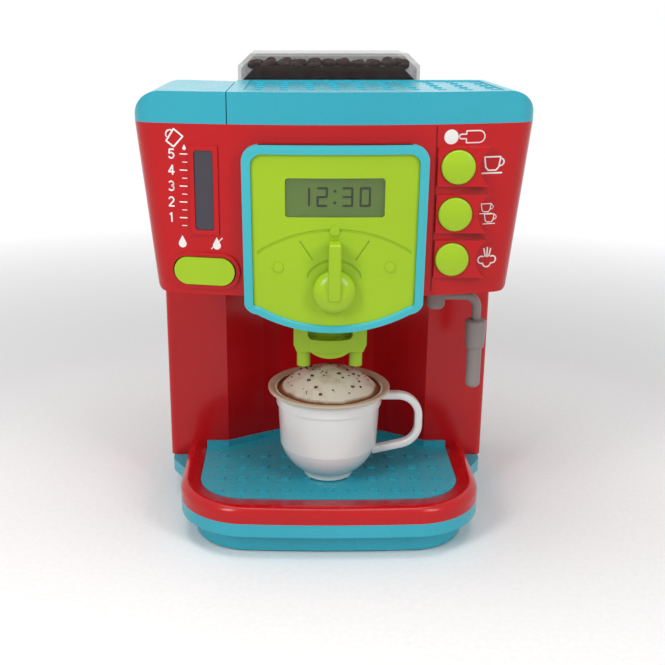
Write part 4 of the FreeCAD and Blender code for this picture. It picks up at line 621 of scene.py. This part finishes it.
# Each sign has the x and z of its middle, then its size.
left = scaled(jug_sign(), -82.6, 238.6, 9.4)
for step in range(SCALE_MARKS):
    z = SCALE_TOP - step * SCALE_STEP
    lean = step * SCALE_STEP * SCALE_LEAN
    if step % 2 == 0:
        left += stroke([(LONG_START - lean, z), (MARK_END - lean, z)], LONG_WIDTH)
        left += numeral("54321"[step // 2], NUMERAL_X - lean, z, NUMERAL_SIZE)
    else:
        left += stroke([(SHORT_START - lean, z), (MARK_END - lean, z)], SHORT_WIDTH)
left += scaled(drop_sign(), -79.8, 184.4, 6.4)
left += scaled(drop_sign(), -61.4, 184.1, 6.4) + stroke([(-64.4, 181.3), (-58.4, 187.3)], 0.5)
print_shapes("print_level_scale", "front_housing", left, white_ink)
right = scaled(press_sign(), 66.0, 239.6, 10.4)
right += scaled(cup_sign(), 81.7, 225.8, 10.4)
right += scaled(cup_sign(), 79.6, 202.7, 6.4) + scaled(cup_sign(), 81.6, 197.2, 6.4)
right += scaled(steam_sign(), 81.6, 175.6, 9.8)
print_shapes("print_button_signs", "front_housing", right, white_ink)
DIGIT_Z, DIGIT_SIZE, COLON_RISE, COLON_DOT = 210.0, 9.0, 3.0, 0.8
digits = []
for text, x in (("1", -15.5), ("2", -6.5), ("3", 6.5), ("0", 15.5)):
    digits += display_digit(text, x, DIGIT_Z, DIGIT_SIZE)
for rise in (COLON_RISE, -COLON_RISE):
    digits.append(oval(0, DIGIT_Z + rise, COLON_DOT, COLON_DOT))
print_shapes("print_display_digits", "display_module", digits, dark_ink)
print("printed shapes at the left, at the right and on the display:", len(left), len(right), len(digits))

# %% [markdown]
# ## The bezel's rim
# The cyan frame is a rounded band round the lime panel, wider at its sides than at its foot.
# It is a section swept round the frame's outline, with the section turned to the outline at each point.

# %%
RIM_HALF, RIM_FOOT_HALF, RIM_TOP, RIM_FOOT, RIM_CORNER = 47.8, 47.0, 236.5, 153.0, 8.5
SAG_HALF, SAG_Z, SAG_RADIUS, SAG_CORNER = 40.5, 148.1, 90.0, 7.5
SIDE_WIDTH, FOOT_WIDTH, RIM_DEPTH, RIM_ROUND = 4.7, 3.7, 5.2, 1.4
# The band's width grows from the foot's to the sides' over this height.
EASE_FROM, EASE_OVER = 140.0, 20.0
# How many steps each stretch of the outline has, and over how many of them each way a direction is taken.
SAG_STEPS, FOOT_STEPS, SIDE_STEPS, CORNER_STEPS, TOP_STEPS = 44, 8, 12, 10, 36
RIM_EASE = 3
# Places where the panel's and the frame's faces are measured.
PANEL_X, PANEL_Z, BAND_X, BAND_Z = 38.0, 226.0, 45.0, 200.0
QUARTER = [math.radians(15 * i) for i in range(7)]


def bulge(start, end, radius, count):
    """Points of an arc that bulges to the right of the way from start to end."""
    start, end = Vector(start), Vector(end)
    half = (end - start) / 2
    left_side = Vector((-half.y, half.x)).normalized()
    centre = start + half + left_side * math.sqrt(radius**2 - half.length_squared)
    turn = 2 * math.asin(half.length / radius)
    return [centre + Matrix.Rotation(turn * i / count, 2) @ (start - centre) for i in range(count)]


def straight(start, end, count):
    """Points on the straight way from start to just before the end."""
    start, end = Vector(start), Vector(end)
    return [start.lerp(end, i / count) for i in range(count)]


def rim_outline():
    """The frame's outline seen from the front: its foot, right side, top, then left side."""
    side_top = RIM_TOP - RIM_CORNER
    corner_in = RIM_HALF - RIM_CORNER
    points = bulge((-SAG_HALF, SAG_Z), (SAG_HALF, SAG_Z), SAG_RADIUS, SAG_STEPS)
    points += bulge((SAG_HALF, SAG_Z), (RIM_FOOT_HALF, RIM_FOOT), SAG_CORNER, FOOT_STEPS)
    points += straight((RIM_FOOT_HALF, RIM_FOOT), (RIM_HALF, side_top), SIDE_STEPS)
    points += bulge((RIM_HALF, side_top), (corner_in, RIM_TOP), RIM_CORNER, CORNER_STEPS)
    points += straight((corner_in, RIM_TOP), (-corner_in, RIM_TOP), TOP_STEPS)
    points += bulge((-corner_in, RIM_TOP), (-RIM_HALF, side_top), RIM_CORNER, CORNER_STEPS)
    points += straight((-RIM_HALF, side_top), (-RIM_FOOT_HALF, RIM_FOOT), SIDE_STEPS)
    points += bulge((-RIM_FOOT_HALF, RIM_FOOT), (-SAG_HALF, SAG_Z), SAG_CORNER, FOOT_STEPS)
    return points


middle_y = on_surface("control_panel", 0, PANEL_Z).y
side_y = on_surface("control_panel", PANEL_X, PANEL_Z).y
FACE_BOW = (side_y - middle_y) / (PANEL_X * PANEL_X)
RIM_FRONT = on_surface("control_bezel", BAND_X, BAND_Z).y - FACE_BOW * BAND_X**2


def rim_front(x):
    """The y of the frame's face, in metres, at an x in millimetres."""
    return RIM_FRONT + FACE_BOW * x * x


def rim_section(width):
    """The band's section: how far in from the outline, and how far behind the face."""
    outer = [(RIM_ROUND * (1 - math.cos(t)), RIM_ROUND * (1 - math.sin(t))) for t in QUARTER]
    inner = [(width - a, b) for a, b in reversed(outer)]
    return [(0.0, RIM_DEPTH)] + outer + inner + [(width, RIM_DEPTH)]


def swept(name, rings, joined_up):
    """A mesh through rings of as many points each; the last ring meets the first if joined up."""
    size = len(rings[0])
    faces = []
    for i in range(len(rings) if joined_up else len(rings) - 1):
        here, there = i * size, ((i + 1) % len(rings)) * size
        for j in range(size):
            after = (j + 1) % size
            faces.append([here + j, here + after, there + after, there + j])
    if not joined_up:
        faces += [list(range(size)), [len(rings) * size - 1 - j for j in range(size)]]
    data = bpy.data.meshes.new(name)
    data.from_pydata([tuple(v) for ring in rings for v in ring], [], faces)
    data.update()
    fair = bmesh.new()
    fair.from_mesh(data)
    bmesh.ops.recalc_face_normals(fair, faces=fair.faces[:])
    fair.to_mesh(data)
    fair.free()
    for polygon in data.polygons:
        polygon.use_smooth = True
    return data


def bezel_rim():
    """The band's section carried round the outline, as a closed loop."""
    outline = rim_outline()
    count = len(outline)
    rings = []
    for i, point in enumerate(outline):
        along = outline[(i + RIM_EASE) % count] - outline[i - RIM_EASE]
        inward = Vector((-along.y, along.x)).normalized()
        share = min(1.0, max(0.0, (point.y - EASE_FROM) / EASE_OVER))
        width = FOOT_WIDTH + (SIDE_WIDTH - FOOT_WIDTH) * share
        ring = []
        for across, behind in rim_section(width):
            x, z = point + inward * across
            ring.append(Vector((x * MM, rim_front(x) + behind * MM, z * MM)))
        rings.append(ring)
    return swept("bezel_rim", rings, True)


rim = new_piece("bezel_rim", bezel_rim(), finish["cyan_bezel"], "machine")
print("rim faces:", len(rim.data.polygons))

# %% [markdown]
# ## The push buttons
# Each button is a small cap that a finger presses, and its stem slides in the housing.
# A half profile turned round the button's axis gives a soft dome, a rounded edge, the wall and the stem.
# The solid button shades unevenly at the middle of its dome, so this turned cap replaces it.

# %%
BUTTON_RADIUS, BUTTON_ROUND, BUTTON_DOME, BUTTON_WALL, BUTTON_STEM = 8.75, 1.1, 1.0, 6.0, 3.9
STEM_SLOPE, BUTTON_STEPS, BUTTON_SIDES = 0.2, 8, 64
# A turned shape keeps this small hole round its axis, and a flat face closes it.
AXIS_GAP = 0.01


def turned(name, profile, axis_x, axis_z, sides):
    """A half profile of (radius, y) points turned round an axis that runs from front to back."""
    rings = []
    for radius, y in profile:
        circle = oval(axis_x, axis_z, radius, radius, sides)
        rings.append([Vector((x, y, z)) * MM for x, z in circle])
    return swept(name, rings, False)


def push_button(node_name):
    """A button's domed cap with a rounded edge, its wall and its stem, from the CAD button's box."""
    low, high = [Vector(corner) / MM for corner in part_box(node_name)]
    edge, depth = BUTTON_RADIUS - BUTTON_ROUND, high.y - low.y
    profile = [(AXIS_GAP, 0.0)]
    for i in range(1, BUTTON_STEPS + 1):
        profile.append((edge * i / BUTTON_STEPS, BUTTON_DOME * (i / BUTTON_STEPS) ** 2))
    for turn in QUARTER[1:]:
        back = BUTTON_DOME + BUTTON_ROUND * (1 - math.cos(turn))
        profile.append((edge + BUTTON_ROUND * math.sin(turn), back))
    profile += [(BUTTON_RADIUS, BUTTON_WALL), (BUTTON_STEM, BUTTON_WALL + STEM_SLOPE)]
    profile += [(BUTTON_STEM, depth), (AXIS_GAP, depth)]
    placed = [(radius, low.y + back) for radius, back in profile]
    axis_x, axis_z = (low.x + high.x) / 2, (low.z + high.z) / 2
    return turned(node_name + "_cap", placed, axis_x, axis_z, BUTTON_SIDES)


for node_name, body in (
    ("button_one_cup", "top_button"),
    ("button_two_cups", "middle_button"),
    ("button_steam", "low_button"),
):
    cap = new_piece(node_name + "_cap", push_button(node_name), finish["lime_plastic"], body)
    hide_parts(node_name)
    print(cap.name, "has", len(cap.data.polygons), "faces")

# %% [markdown]
# ## The selector knob
# The knob is a low dome with a pointer bar that rises out of it, so fingers can grip and turn it.
# A half profile turned round the axis gives the dome, and the bar is a tapered block with rounded edges.

# %%
knob_low, knob_high = [Vector(corner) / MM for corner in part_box("selector_knob")]
KNOB_RADIUS = (knob_high.x - knob_low.x) / 2
KNOB_Z = knob_low.z + KNOB_RADIUS
POINTER_REACH = knob_high.z - KNOB_Z
POINTER_PROUD = 11.0
SEAT_Y = knob_low.y + POINTER_PROUD
SHAFT_END = SEAT_Y - knob_high.y
SHAFT_RADIUS, KNOB_EDGE, DOME_FOOT, DOME_RISE, KNOB_SIDES = 4.0, 0.5, 3.0, 5.6, 72
POINTER_FOOT, POINTER_BEND, POINTER_BACK = -4.0, 8.0, 1.0
POINTER_ROUND, POINTER_SEGMENTS = 1.3, 4


def knob_profile():
    """Radius and how far out from the seat, from the shaft's end to the top of the dome."""
    dome_turns = [math.radians(7.5 * i) for i in range(12)]
    points = [(AXIS_GAP, SHAFT_END), (SHAFT_RADIUS, SHAFT_END), (SHAFT_RADIUS, 0.0)]
    points += [(KNOB_RADIUS - KNOB_EDGE, 0.0), (KNOB_RADIUS, KNOB_EDGE)]
    points += [(KNOB_RADIUS * math.cos(t), DOME_FOOT + DOME_RISE * math.sin(t)) for t in dome_turns]
    return points + [(AXIS_GAP, DOME_FOOT + DOME_RISE)]


def pointer_bar():
    """The bar as three rings of four corners, from its foot in the dome up to its tip."""
    rows = (
        (POINTER_FOOT, 3.3, 9.2),
        (POINTER_BEND, 3.4, 10.6),
        (POINTER_REACH, 3.2, POINTER_PROUD),
    )
    rings = []
    for z, half, out in rows:
        corners = [(-half, POINTER_BACK), (half, POINTER_BACK), (half, out), (-half, out)]
        rings.append([Vector((x, SEAT_Y - o, KNOB_Z + z)) * MM for x, o in corners])
    return swept("pointer_bar", rings, False)


knob_turned = [(radius, SEAT_Y - out) for radius, out in knob_profile()]
knob_data = turned("knob_dome", knob_turned, 0, KNOB_Z, KNOB_SIDES)
dome = new_piece("knob_dome", knob_data, finish["lime_plastic"], "knob")
bar = new_piece("pointer_bar", pointer_bar(), finish["lime_plastic"], "knob")
round_edges(bar, POINTER_ROUND, POINTER_SEGMENTS)
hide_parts("selector_knob")
print("knob radius and pointer reach:", round(KNOB_RADIUS, 2), round(POINTER_REACH, 2))

# %% [markdown]
# ## The beans
# The toy's beans are a moulded bed, and these loose ones in rows on it give the bed its depth.
# Each has its own turn and length, from a fixed seed, so every run lays them the same way.

# %%
random.seed(7)
BEAN_ROWS, BEAN_COLUMNS, ROW_SHIFT = 6, 11, 2.0
BEAN_LEFT, BEAN_PITCH, BEAN_LIMIT = -46.5, 9.3, 45.5
ROW_FRONT, ROW_PITCH, BEAN_Z = 37.6, 8.5, 270.2
BEAN_WIDE, BEAN_HIGH, BEAN_FLAT = 0.34, 0.27, 0.72
GROOVE_DEPTH, GROOVE_SPREAD, GROOVE_SWAY = 0.9, 0.18, 0.25


def join_shapes(name, shapes, material, body, smooth=True):
    """One mesh of many small copies; each shape is (vertices, faces)."""
    vertices, faces = [], []
    for points, polygons in shapes:
        start = len(vertices)
        vertices += points
        faces += [[start + i for i in polygon] for polygon in polygons]
    data = bpy.data.meshes.new(name)
    data.from_pydata([tuple(v) for v in vertices], [], faces)
    data.update()
    for polygon in data.polygons:
        polygon.use_smooth = smooth
    new_piece(name, data, material, body)


def ball(rings, sides):
    """A unit ball's points and faces."""
    mesh = bmesh.new()
    bmesh.ops.create_uvsphere(mesh, u_segments=sides, v_segments=rings, radius=1)
    mesh.verts.index_update()
    points = [v.co.copy() for v in mesh.verts]
    polygons = [[v.index for v in f.verts] for f in mesh.faces]
    mesh.free()
    return points, polygons


def bean(centre, turn, length, groove_up):
    """A roasted bean: an oval that is flatter on its grooved face, where that face is up."""
    points, polygons = ball(12, 18)
    placed = []
    for p in points:
        x, y, z = p.x * length / 2, p.y * length * BEAN_WIDE, p.z * length * BEAN_HIGH
        groove = math.exp(-((y - GROOVE_SWAY * math.sin(p.x * 2.2)) ** 2) / GROOVE_SPREAD)
        if z > 0 and groove_up:
            z = z * BEAN_FLAT - GROOVE_DEPTH * groove * max(0.0, 1 - p.x * p.x)
        placed.append(Vector((x, y, z)))
    rotation = Euler((random.uniform(-0.25, 0.25), random.uniform(-0.25, 0.25), turn)).to_matrix()
    return [(centre + rotation @ v) * MM for v in placed], polygons


beans = []
for row in range(BEAN_ROWS):
    for column in range(BEAN_COLUMNS):
        x = BEAN_LEFT + column * BEAN_PITCH + (row % 2) * ROW_SHIFT + random.uniform(-1.0, 1.0)
        y = ROW_FRONT + row * ROW_PITCH + random.uniform(-0.8, 0.8)
        x = max(-BEAN_LIMIT, min(BEAN_LIMIT, x))
        centre = Vector((x, y, BEAN_Z + random.uniform(-0.7, 0.5)))
        turn = math.pi / 2 + random.uniform(-0.7, 0.7)
        beans.append(bean(centre, turn, random.uniform(9.2, 10.4), random.random() < 0.6))
join_shapes("loose_beans", beans, finish["bean_brown"], "machine")
print(len(beans), "beans")

# %% [markdown]
# ## The chocolate
# Small bits of chocolate are spread evenly over the foam, and each is half sunk into its dome.

# %%
FOAM_TOP, FOAM_FOOT, FOAM_FOOT_RADIUS = 97.5, 84.8, 29.0
FOAM_RISE = FOAM_TOP - FOAM_FOOT
FOAM_RADIUS = (FOAM_FOOT_RADIUS**2 + FOAM_RISE**2) / (2 * FOAM_RISE)
BIT_COUNT, BIT_REACH, BIT_SUNK = 90, 25.5, 0.4
BIT_SIZES = [0.5, 0.6, 0.8, 0.8, 1.1, 1.5]


def foam_height(reach):
    """The height of the foam's dome at that distance from its axis."""
    return FOAM_TOP - FOAM_RADIUS + math.sqrt(FOAM_RADIUS**2 - reach**2)


bits = []
for _ in range(BIT_COUNT):
    reach = BIT_REACH * math.sqrt(random.random())
    turn = random.uniform(0, 2 * math.pi)
    x, y = reach * math.cos(turn), reach * math.sin(turn)
    size = random.choice(BIT_SIZES)
    points, polygons = ball(4, 6)
    shape = [
        Vector((p.x * size * random.uniform(0.7, 1.3), p.y * size * 0.8, p.z * size * 0.5))
        for p in points
    ]
    rotation = Matrix.Rotation(random.uniform(0, 6.3), 3, "Z")
    low = Vector((x, y + CUP_CENTRE_Y, min(foam_height(reach), FOAM_TOP - BIT_SUNK - size * 0.3)))
    bits.append(([(low + rotation @ v) * MM for v in shape], polygons))
chocolate = plastic("chocolate_bits", "4E2C1B", 0.42, 0.5, 0.2, 0.2)
join_shapes("foam_sprinkles", bits, chocolate, "cup_set", smooth=False)
print(len(bits), "bits of chocolate")

# %% [markdown]
# ## The room and the camera
# A pale floor fades out into a white room, with soft plain light from both sides and above.
# The camera stands in front, a little higher than the toy, and looks down.

# %%
FLOOR_SIZE, FLOOR_Z = 3, -0.0005
PAPER_GREY, PAPER_WHITE = (0.86, 0.86, 0.86, 1), (0.9, 0.9, 0.9, 1)
PAPER_FIBRES, PAPER_ROUGHNESS = 320, 0.9
FADE_START, FADE_END = 0.35, 0.9
ROOM_LIGHT, ROOM_SEEN = 0.3, 1.0

bpy.ops.mesh.primitive_plane_add(size=FLOOR_SIZE, location=(0, 0, FLOOR_Z))
floor = bpy.context.object
floor.name = "floor"
paper = bpy.data.materials.new("paper")
paper.use_nodes = True
tree = paper.node_tree
shader = shader_of(paper)
coords = node(tree, "ShaderNodeTexCoord").outputs["Object"]
fibres = remap(tree, noise(tree, coords, PAPER_FIBRES, 3), 0.3, 0.7, 0.0, 1.0)
tree.links.new(mix(tree, fibres, PAPER_GREY, PAPER_WHITE), shader.inputs["Base Color"])
shader.inputs["Roughness"].default_value = PAPER_ROUGHNESS
reach = node(tree, "ShaderNodeVectorMath", operation="LENGTH")
tree.links.new(coords, reach.inputs[0])
fade = remap(tree, reach.outputs["Value"], FADE_START, FADE_END, 1.0, 0.0)
tree.links.new(fade, shader.inputs["Alpha"])
floor.data.materials.append(paper)
floor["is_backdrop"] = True

world = bpy.data.worlds.new("soft_room")
world.use_nodes = True
bpy.context.scene.world = world
tree = world.node_tree
back = tree.nodes["Background"]
rays = node(tree, "ShaderNodeLightPath")
back.inputs["Color"].default_value = (1, 1, 1, 1)
seen = maths(tree, "MAXIMUM", rays.outputs["Is Camera Ray"], rays.outputs["Is Glossy Ray"])
seen = maths(tree, "MAXIMUM", seen, rays.outputs["Is Transmission Ray"])
strength = remap(tree, seen, 0.0, 1.0, ROOM_LIGHT, ROOM_SEEN)
tree.links.new(strength, back.inputs["Strength"])
print("the floor and the room:", floor.name, world.name)

# %% [markdown]
# ### Lamps and camera
# Two lamps at the sides shape the shells, and a wide one above lights the cap.

# %%
FRONT_TARGET, TOP_TARGET = (0, 0, 0.16), (0, -0.02, 0.2)
SIDE_SIZE, TOP_SIZE = (0.22, 0.45), (0.8, 0.5)
CAMERA_PLACE, CAMERA_TILT = (-0.020, -0.590, 0.2975), math.radians(72.5)
LENS, SENSOR_WIDTH, SHIFT_X = 54.1, 36, 0.0553


def area_light(name, place, target, size, power):
    """A lamp like a softbox that faces its target."""
    light = bpy.data.lights.new(name, "AREA")
    light.shape = "RECTANGLE"
    light.size, light.size_y = size
    light.energy = power
    lamp = bpy.data.objects.new(name, light)
    bpy.context.scene.collection.objects.link(lamp)
    lamp.location = place
    lamp.rotation_euler = (Vector(target) - Vector(place)).to_track_quat("-Z", "Y").to_euler()


area_light("left_light", (-0.5, -0.62, 0.62), FRONT_TARGET, SIDE_SIZE, 3.4)
area_light("right_light", (0.5, -0.62, 0.58), FRONT_TARGET, SIDE_SIZE, 2.4)
area_light("top_light", (-0.05, -0.1, 0.95), TOP_TARGET, TOP_SIZE, 4.6)

camera_data = bpy.data.cameras.new("camera")
camera_data.lens = LENS
camera_data.sensor_width = SENSOR_WIDTH
camera_data.shift_x = SHIFT_X
camera = bpy.data.objects.new("camera", camera_data)
camera.location = CAMERA_PLACE
camera.rotation_euler = (CAMERA_TILT, 0, 0)
bpy.context.scene.collection.objects.link(camera)
bpy.context.scene.camera = camera
settings = bpy.context.scene.view_settings
settings.view_transform = "Standard"
print("lit by three lamps, seen through a lens of", LENS, "mm")

# %% [markdown]
# ## The size as shown
# What was added must not make the toy larger, so the box of everything shown is printed.

# %%
low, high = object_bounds()
print("shown size in mm:", [round((h - l) / MM, 1) for l, h in zip(low, high)])
